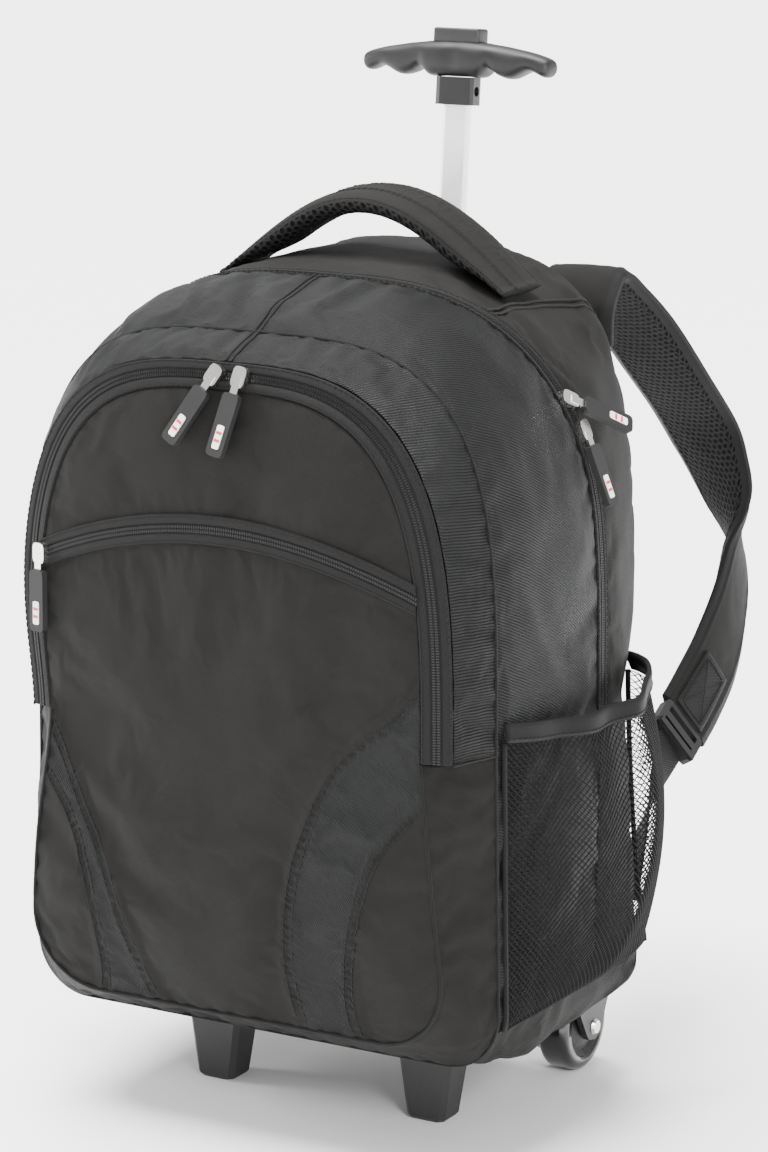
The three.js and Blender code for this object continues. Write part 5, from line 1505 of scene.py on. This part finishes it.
@dataclass
class ShoulderStrap:
    """A padded strap with its patch, buckle and webbing. side is 1 on the right and -1 on the left."""

    form: BagForm
    name: str
    side: int
    width: float = 58
    end_width: float = 42
    thick: float = 11
    reach: float = 150
    crown: float = 3
    webbing_width: float = 25
    webbing_thick: float = 2
    buckle_length: float = 25

    def stations(self, steps: int) -> list[Station]:
        """The strap's run from its root to the buckle."""
        form = self.form
        top = 0.93 * form.top
        start = form.part("back").depth_at(top) + self.thick / 2 + self.crown + GAP
        found = []
        for step in range(steps + 1):
            share = step / steps
            x, y, z, fx, fy, fz, slim = (spline([row[k] for row in STRAP_RUN], share) for k in range(7))
            found.append(Station(Vector((self.side * x * form.half, start + y * self.reach, z * top)),
                                 Vector((self.side * fx, fy, fz)), lerp(self.width, self.end_width, slim),
                                 lerp(self.thick, self.thick * 0.6, slim)))
        return found

    def build(self) -> None:
        """The strap, its bound edges, its patch, its stitches, its buckle and its webbing."""
        count = 26
        profile = pad_profile(count, 0.3, 0.8)
        stations = self.stations(220)

        def relief(run: float, x: float, upper: bool) -> float:
            groove = -0.8 * bell(abs(x) - 0.78, 0.05)
            slack = 0.7 * noise.noise(Vector((run * 22, x * 1.7, self.side * 3.0)))
            gather = 0.3 * noise.noise(Vector((run * 120, x * 2.5, 9))) * bell(abs(x) - 0.78, 0.3)
            return groove + (slack + gather) * (1 - abs(x) ** 4)

        edges = {0, 1, *range(count - 2, count + 3), *range(2 * count - 1, 2 * count + 2)}

        def slots(row: int, column: int) -> int:
            if column in edges:
                return 2
            return 0 if column < count else 1

        finishes = [PLAIN, AIR, BINDING]
        made = sweep(f"strap_pad_{self.name}", stations, profile, self.form, finishes, slots, relief)
        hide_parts(f"strap_{self.name}")
        self.build_patch(stations)
        self.build_webbing(stations)
        dress_node(f"buckle_{self.name}", PLASTIC, 0.9)

    def build_patch(self, stations: list[Station]) -> None:
        """The webbing patch sewn on the strap's lower end, with its crossed box of stitches."""
        first, last = int(len(stations) * 0.86), len(stations) - 2
        rows = []
        for index in range(first, last):
            station = stations[index]
            _, _, up = frame_at(stations, index)
            place = station.place + up * (station.thick / 2 + 0.5)
            rows.append(Station(place, station.look, self.webbing_width, 1.6))
        flat = [(1, 0.6), (0.9, 1), (0, 1.1), (-0.9, 1), (-1, 0.6), (-1, -1), (0, -1), (1, -1)]
        sweep(f"strap_patch_{self.name}", rows, flat, self.form, [BINDING])
        stitches = Stitching(f"patch_stitches_{self.name}", self.form, length=2.2, pitch=3.0)
        reach = self.webbing_width / 2 - 3
        corners = []
        for index in (first + 2, last - 4):
            _, across, up = frame_at(stations, index)
            base = stations[index].place + up * (stations[index].thick / 2 + 1.5)
            corners += [base + across * reach, base - across * reach]
        a, b, c, d = corners
        normal = frame_at(stations, (first + last) // 2)[2]
        for one, other in ((a, b), (b, d), (d, c), (c, a), (a, d), (b, c)):
            path = [one.lerp(other, i / 8) for i in range(9)]
            stitches.row(path, lambda point: normal)
        stitches.finish()

    def build_webbing(self, stations: list[Station]) -> None:
        """Webbing from the buckle to the bag's rear corner."""
        form = self.form
        coarse = self.stations(24)
        along, across, up = frame_at(coarse, 24)
        origin = coarse[-1].place + along * GAP
        start = origin + along * (self.buckle_length * 0.55)
        height = form.base_seam + 0.12 * (form.shoulder - form.base)
        corner = [Vector((self.side * form.part(n).side(height), form.part(n).depth_at(height), height))
                  for n in ("turn", "back")]
        turn, back = corner
        normal = Vector((self.side * (back.y - turn.y), abs(turn.x - back.x), 0)).normalized()
        end = turn.lerp(back, 0.6) + normal * (self.webbing_thick / 2 + 3 * GAP)
        middle = origin + along * 2.2 * self.buckle_length
        rows = []
        for step in range(41):
            t = step / 40
            place = start * (1 - t) ** 2 + middle * 2 * t * (1 - t) + end * t * t
            rows.append(Station(place, up.lerp(normal, t), self.webbing_width - 1, 1.6))
        half = [(1, 0.5), (0.92, 1), (0, 1.05), (-0.92, 1), (-1, 0.5)]
        flat = half + [(-x, -z) for x, z in half]
        made = sweep(f"webbing_{self.name}_tape", rows, flat, form, [BINDING])
        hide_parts(f"webbing_{self.name}")


@dataclass
class NetPocket:
    """A net side pocket with a bound top edge."""

    form: BagForm
    name: str
    side: int
    front: float = 0.183 * 230
    back: float = 0.991 * 230
    top: float = 252
    bulge: float = 31
    across: int = 44
    up: int = 40
    band_height: float = 11
    band_thick: float = 3

    def place(self, across: float, up: float, out: float = 0.0) -> Vector:
        """A point of the net, from front to back and from its base up, as shares."""
        form = self.form
        sag = 0.05 * math.sin(math.pi * across) * up
        z = lerp(form.base_seam + 2 * GAP, self.top, up - sag)
        y = lerp(self.front, self.back, across)
        swell = math.sin(math.pi * across**1.7) ** 0.55 * math.sin(math.pi * (0.01 + 0.84 * up)) ** 0.7
        gather = 0.09 * math.sin(across * math.pi * 7) * math.sin(math.pi * across)
        stand = self.bulge * max(0.0, swell + gather * up)
        rest = form.side_at(y, z) + 2 * GAP + 2 * across**3
        return Vector((self.side * (rest + stand + 1 + out), y, z))

    def build(self) -> None:
        """The net, its band and its bound edges."""
        form = self.form
        mesh = bmesh.new()
        bmesh.ops.create_grid(mesh, x_segments=self.across, y_segments=self.up, size=0.5)
        old = [edge for edge in mesh.edges if not edge.is_boundary]
        bmesh.ops.poke(mesh, faces=mesh.faces[:])
        bmesh.ops.dissolve_edges(mesh, edges=[edge for edge in old if edge.is_valid], use_verts=False)
        for vert in mesh.verts:
            vert.co = form.world(self.place(vert.co.x + 0.5, vert.co.y + 0.5))
        mesh.normal_update()
        bmesh.ops.wireframe(mesh, faces=mesh.faces[:], thickness=1.0 * MM, use_boundary=True,
                            use_replace=True, use_even_offset=False)
        layer = mesh.loops.layers.uv.new("cloth")
        for face in mesh.faces:
            for loop in face.loops:
                loop[layer].uv = (loop.vert.co.y, loop.vert.co.z)
        bmesh.ops.recalc_face_normals(mesh, faces=mesh.faces)
        made = finish_mesh(f"net_{self.name}", mesh, [NET])
        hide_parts(f"net_pocket_{self.name}")
        self.build_band()
        for share, tag in ((0.0, "front"), (1.0, "rear")):
            path = [self.place(share, i / 40) for i in range(41)]
            tube(f"net_edge_{tag}_{self.name}", path, 1.6, form, BINDING)

    def build_band(self) -> None:
        """The bound edge along the open top."""
        height, thick = self.band_height, self.band_thick
        ring = [(0, 0.5), (1, 0), (1.15, 0.25), (1.1, 0.5), (1.15, 0.75), (1, 1), (0, 1.0), (-0.1, 0.5)]
        grid: Grid = []
        for step in range(81):
            base = self.place(step / 80, 1)
            row = []
            for out, lift in ring:
                row.append(base + Vector((self.side * (out - 0.3) * thick, 0, GAP + lift * height + 0.2)))
            grid.append([*row, row[0].copy()])
        made = closed_piece(f"pocket_binding_{self.name}", grid, self.form, [BINDING])
        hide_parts(f"pocket_band_{self.name}")
        stitches = Stitching(f"pocket_stitches_{self.name}", self.form)
        path = [self.place(i / 80, 1) + Vector((self.side * 2.75, 0, 2.4)) for i in range(81)]
        stitches.row(path, lambda point: Vector((self.side, 0, 0)))
        stitches.finish()


@dataclass
class BackPanel:
    """The padded back with sewn channels."""

    form: BagForm

    def build(self) -> None:
        """The panel."""
        form = self.form
        cut = form.part("back")
        outline = cut.arch(form.base_seam, 120) + cut.trough(form.base_seam, 60)[1:-1]
        centre = 280.0
        rings = [0.02 + 0.96 * (i / 40) for i in range(41)]
        grid: Grid = []
        for share in rings:
            row = []
            for x, z in outline:
                px, pz = x * share, lerp(centre, z, share)
                rounded = (1 - clamp((share - 0.8) / 0.18) ** 2) if share > 0.8 else 1.0
                channel = bell(abs(px) - 34, 3.5) + bell(px, 3.5) * (1 if pz < 330 else 0)
                puff = 3.4 * math.sqrt(max(0.0, rounded)) - 2.6 * min(1.0, channel)
                row.append(Vector((px, cut.depth_at(pz) - 0.5 + puff, pz)))
            grid.append([*row, row[0].copy()])
        mesh = grid_mesh(grid, form, close_columns=True)
        flat_map(mesh)
        fill_middle(mesh, 3)
        face_outward(mesh, form.world(Vector((0, 0, 250))))
        made = finish_mesh("back_pad", mesh, [AIR])
        modify(made, "SOLIDIFY", thickness=2 * MM, offset=-1)
        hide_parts("back_panel")


# Hard parts

GRIP_ROWS: tuple[tuple[float, float, float, float], ...] = (
    (1, 0.1, 0.02, 0.2),
    (0.985, 0.22, -0.1, 0.5),
    (0.93, 0.3, -0.17, 0.66),
    (0.78, 0.4, -0.05, 0.76),
    (0.6, 0.48, -0.24, 0.82),
    (0.47, 0.53, -0.19, 0.84),
    (0.36, 0.56, -0.05, 0.88),
    (0.27, 0.59, -0.24, 0.96),
    (0.12, 0.61, -0.24, 1),
    (0, 0.61, -0.24, 1),
)


@dataclass
class PoleSet:
    """The grip, its button, its collar and the pole."""

    form: BagForm
    height: float = 597.8
    width: float = 127
    depth: float = 25
    button_width: float = 31
    button_depth: float = 13
    button_stand: float = 7.5

    def place(self, x: float, y: float, z: float) -> Vector:
        """A point given about the pole's axis at the grip, in millimetres of the bag."""
        form = self.form
        back = form.part("back").depth_at(self.height) - 6 - (4 + 0.4 + 1.4) - 3 * GAP
        along = Vector((0, form.slope, 1)).normalized()
        across = Vector((1, 0, 0))
        deep = along.cross(across)
        return Vector((0, back, self.height)) + across * x + deep * y + along * z

    def build_grip(self) -> None:
        """The grip, lofted across with its finger scallops."""
        rows = [(-x, top, foot, deep) for x, top, foot, deep in GRIP_ROWS]
        rows += [(x, top, foot, deep) for x, top, foot, deep in reversed(GRIP_ROWS[:-1])]
        count, sides = 120, 32
        grid: Grid = []
        for step in range(count + 1):
            x, top, foot, deep = (spline([row[k] for row in rows], step / count) for k in range(4))
            middle = (top + foot) / 2 * self.depth
            tall = max(0.4, (top - foot) / 2 * self.depth)
            ring = []
            for k in range(sides):
                angle = 2 * math.pi * k / sides
                c, s = math.cos(angle), math.sin(angle)
                y = math.copysign(abs(c) ** 0.75, c) * deep * self.depth / 2
                z = middle + math.copysign(abs(s) ** 0.75, s) * tall
                px = x * self.width / 2
                if c > 0.2 or c < -0.2:
                    y -= math.copysign(0.9 * bell(math.hypot(px, (z - middle) * 1.1), 6.5), c)
                ring.append(self.place(px, y, z))
            grid.append([*ring, ring[0].copy()])
        made = closed_piece("grip_moulding", grid, self.form, [GRIP], "handle")
        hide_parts("grip")

    def build_button(self) -> None:
        """The button, a rounded block that stands on the grip's top."""
        crown = 0.61 * self.depth
        mesh = bmesh.new()
        bmesh.ops.create_cube(mesh, size=1)
        low, high = crown - 1.7, crown + self.button_stand
        for vert in mesh.verts:
            x = vert.co.x * self.button_width
            y = vert.co.y * self.button_depth
            z = lerp(low, high, vert.co.z + 0.5)
            vert.co = self.form.world(self.place(x, y, z))
        bmesh.ops.bevel(mesh, geom=mesh.edges[:], offset=1.6 * MM, segments=4, profile=0.5, affect="EDGES",
                        clamp_overlap=True, material=-1)
        made = finish_mesh("button_cap", mesh, [BUTTON], "button_body")
        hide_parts("button")

    def build(self) -> None:
        """All four."""
        self.build_grip()
        self.build_button()
        dress_node("collar", PLASTIC, 0.8)
        dress_node("pole", ALUMINIUM, 0.4)
        dress_node("pole_guide", ALUMINIUM)


@dataclass
class Wheel:
    """A wheel in its housing, and the foot on the same side."""

    name: str
    radius: float = 28
    width: float = 20
    tread: float = 8

    def build(self) -> None:
        """The tyre is new and round; the rest keeps its CAD shape."""
        low, high = (Vector(corner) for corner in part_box(f"tyre_{self.name}"))
        centre = (low + high) / 2
        r, w, t = self.radius, self.width / 2, self.tread
        outline = [(r - t, w), (r - 4.5, w)]
        outline += [(r - 4.5 + 4.5 * math.sin(a), w - 4.5 + 4.5 * math.cos(a)) for a in
                    (math.pi / 2 * i / 6 for i in range(1, 7))]
        outline += [(r, w * 0.25), (r, -w * 0.25)]
        outline += [(x, -z) for x, z in reversed(outline[:8])]
        mesh = bmesh.new()
        verts = [mesh.verts.new(Vector((z * MM, 0, x * MM))) for x, z in outline]
        edges = [mesh.edges.new((verts[i], verts[(i + 1) % len(verts)])) for i in range(len(verts))]
        bmesh.ops.spin(mesh, geom=verts + edges, cent=(0, 0, 0), axis=(1, 0, 0), angle=2 * math.pi, steps=56,
                       use_merge=True, use_duplicate=False)
        bmesh.ops.recalc_face_normals(mesh, faces=mesh.faces)
        bmesh.ops.translate(mesh, vec=centre, verts=mesh.verts)
        made = finish_mesh(f"tyre_{self.name}_rubber", mesh, [TYRE], f"wheel_{self.name}_body")
        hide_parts(f"tyre_{self.name}")
        dress_node(f"hub_{self.name}", CHEEK, 0.5)
        dress_node(f"wheel_housing_{self.name}", CHEEK, 1.2, 3)
        dress_node(f"axle_{self.name}", STEEL, 0.4)
        dress_node(f"foot_{self.name}", FOOT, 1.4, 3)


@dataclass
class Pulls:
    """Sliders, rubber pulls and their insets."""

    form: BagForm
    count: int = 5

    def build(self) -> None:
        """Dresses each slider and marks each inset with two plain cross stripes."""
        for number in range(1, self.count + 1):
            dress_node(f"slider_{number}", STEEL, 0.5)
            dress_node(f"pull_{number}", RUBBER, 0.7, 3)
            dress_node(f"pull_inset_{number}", WHITE, 0.2)
            self.stripes(number)

    def stripes(self, number: int) -> None:
        """Two plain red cross stripes on an inset."""
        inset = node(f"pull_inset_{number}")
        points = [inset.matrix_world @ v.co for v in inset.data.vertices]
        middle = sum(points, Vector()) / len(points)
        spread = Matrix(((0, 0, 0), (0, 0, 0), (0, 0, 0)))
        for point in points:
            gap = point - middle
            for i in range(3):
                for j in range(3):
                    spread[i][j] += gap[i] * gap[j]
        long_way = Vector((0.3, 0.4, 0.8))
        for _ in range(60):
            long_way = (spread @ long_way).normalized()
        wide_way = Vector((0.7, -0.5, 0.2))
        for _ in range(60):
            wide_way = spread @ wide_way
            wide_way = (wide_way - long_way * wide_way.dot(long_way)).normalized()
        up = long_way.cross(wide_way)
        outward = middle - self.form.world(Vector((0, 115, 250)))
        if up.dot(outward) < 0:
            up.negate()
            wide_way.negate()
        turn = Matrix((long_way, wide_way, up)).transposed().to_4x4()
        mesh = bmesh.new()
        for offset in (-2.2, 2.2):
            place = Matrix.Translation(middle + long_way * offset * MM + up * 0.42 * MM)
            size = Matrix.Diagonal((1.6 * MM, 3.6 * MM, 0.24 * MM, 1))
            bmesh.ops.create_cube(mesh, size=1, matrix=place @ turn @ size)
        finish_mesh(f"inset_stripes_{number}", mesh, [RED], smooth=False)


# Studio


@dataclass
class Studio:
    """The pale floor, the soft lights and the camera."""

    form: BagForm
    lens: float = 118.75
    azimuth: float = 30
    elevation: float = 12.5
    camera: tuple[float, float, float] = (1102.6, -1732.7, 792.0)

    def build_camera(self) -> None:
        """The camera that took the photograph's view."""
        data = bpy.data.cameras.new("camera")
        data.lens = self.lens
        data.sensor_fit = "AUTO"
        data.sensor_width = 36
        made = bpy.data.objects.new("camera", data)
        bpy.context.scene.collection.objects.link(made)
        made.location = self.form.world(Vector(self.camera))
        a, e = math.radians(self.azimuth), math.radians(self.elevation)
        ahead = Vector((-math.sin(a) * math.cos(e), math.cos(a) * math.cos(e), -math.sin(e)))
        made.rotation_euler = ahead.to_track_quat("-Z", "Y").to_euler()
        bpy.context.scene.camera = made

    def build_floor(self) -> None:
        """A pale floor far beyond the view."""
        mesh = bmesh.new()
        bmesh.ops.create_grid(mesh, x_segments=1, y_segments=1, size=40)
        data = bpy.data.meshes.new("floor")
        mesh.to_mesh(data)
        mesh.free()
        paint = bpy.data.materials.new("floor_paint")
        paint.use_nodes = True
        shader = paint.node_tree.nodes["Principled BSDF"]
        shader.inputs["Base Color"].default_value = (0.93, 0.93, 0.93, 1)
        shader.inputs["Roughness"].default_value = 0.9
        data.materials.append(paint)
        made = bpy.data.objects.new("floor", data)
        bpy.context.scene.collection.objects.link(made)
        made.location.z = -0.0005

    def sun(self, name: str, place: tuple[float, float, float], power: float, spread: float) -> None:
        """A broad sun that shines from a place towards the origin; spread is in degrees."""
        data = bpy.data.lights.new(name, "SUN")
        data.energy = power
        data.angle = math.radians(spread)
        made = bpy.data.objects.new(name, data)
        bpy.context.scene.collection.objects.link(made)
        made.location = place
        made.rotation_euler = (-Vector(place)).to_track_quat("-Z", "Y").to_euler()

    def light(self, name: str, place: tuple[float, float, float], size: float, power: float) -> None:
        """A soft square light aimed at the bag's middle."""
        data = bpy.data.lights.new(name, "AREA")
        data.shape = "SQUARE"
        data.size = size
        data.energy = power
        made = bpy.data.objects.new(name, data)
        bpy.context.scene.collection.objects.link(made)
        made.location = place
        aim = Vector((0, 0, 0.28)) - Vector(place)
        made.rotation_euler = aim.to_track_quat("-Z", "Y").to_euler()

    def build(self) -> None:
        """Floor, sky, lights and camera."""
        self.build_camera()
        self.build_floor()
        world = bpy.data.worlds.new("studio")
        bpy.context.scene.world = world
        world.use_nodes = True
        sky = world.node_tree.nodes["Background"]
        sky.inputs[0].default_value = (1, 1, 1, 1)
        sky.inputs[1].default_value = 1.0
        self.sun("overhead", (-0.4, -0.1, 2.4), 13.0, 45)
        self.light("key", (1.8, -1.6, 1.2), 0.6, 60)
        self.light("side", (-2.2, -0.7, 1.0), 0.5, 30)


FOLDS = (
    Fold((148, 60, 330), (0.2, 0.6, -0.8), 45, 8, 2.2),
    Fold((150, 90, 300), (0.1, 0.8, -0.7), 40, 7, -1.8),
    Fold((146, 20, 350), (0.5, 0.7, -0.5), 26, 5, 1.8),
    Fold((147, 24, 318), (0.5, 0.7, -0.5), 26, 5, -1.5),
    Fold((148, 22, 285), (0.4, 0.8, -0.4), 26, 5, 1.8),
    Fold((149, 26, 262), (0.3, 0.8, -0.5), 24, 5, -1.4),
    Fold((147, 20, 105), (-0.2, 0.5, -0.9), 30, 6, 2.0),
    Fold((140, 18, 95), (-0.3, 0.5, -0.8), 26, 5, -1.6),
    Fold((-60, 60, 478), (-0.4, 0.9, 0.1), 36, 6, 1.8),
    Fold((-25, 70, 480), (-0.3, 0.9, 0.1), 40, 6, -1.6),
    Fold((-95, 50, 462), (-0.5, 0.8, 0.2), 30, 6, 1.6),
    Fold((30, 80, 484), (0.3, 0.9, 0), 40, 7, 1.4),
)


def main() -> None:
    """Builds the sub-assemblies in order."""
    logging.basicConfig(level=logging.INFO, format="%(message)s")
    form = BagForm(folds=FOLDS)
    Studio(form).build()
    Body(form).build()
    CarryHandle(form).build()
    for name, side in (("left", -1), ("right", 1)):
        ShoulderStrap(form, name, side).build()
        NetPocket(form, name, side).build()
        Wheel(name).build()
    BackPanel(form).build()
    PoleSet(form).build()
    Pulls(form).build()


if __name__ == "__main__":
    main()
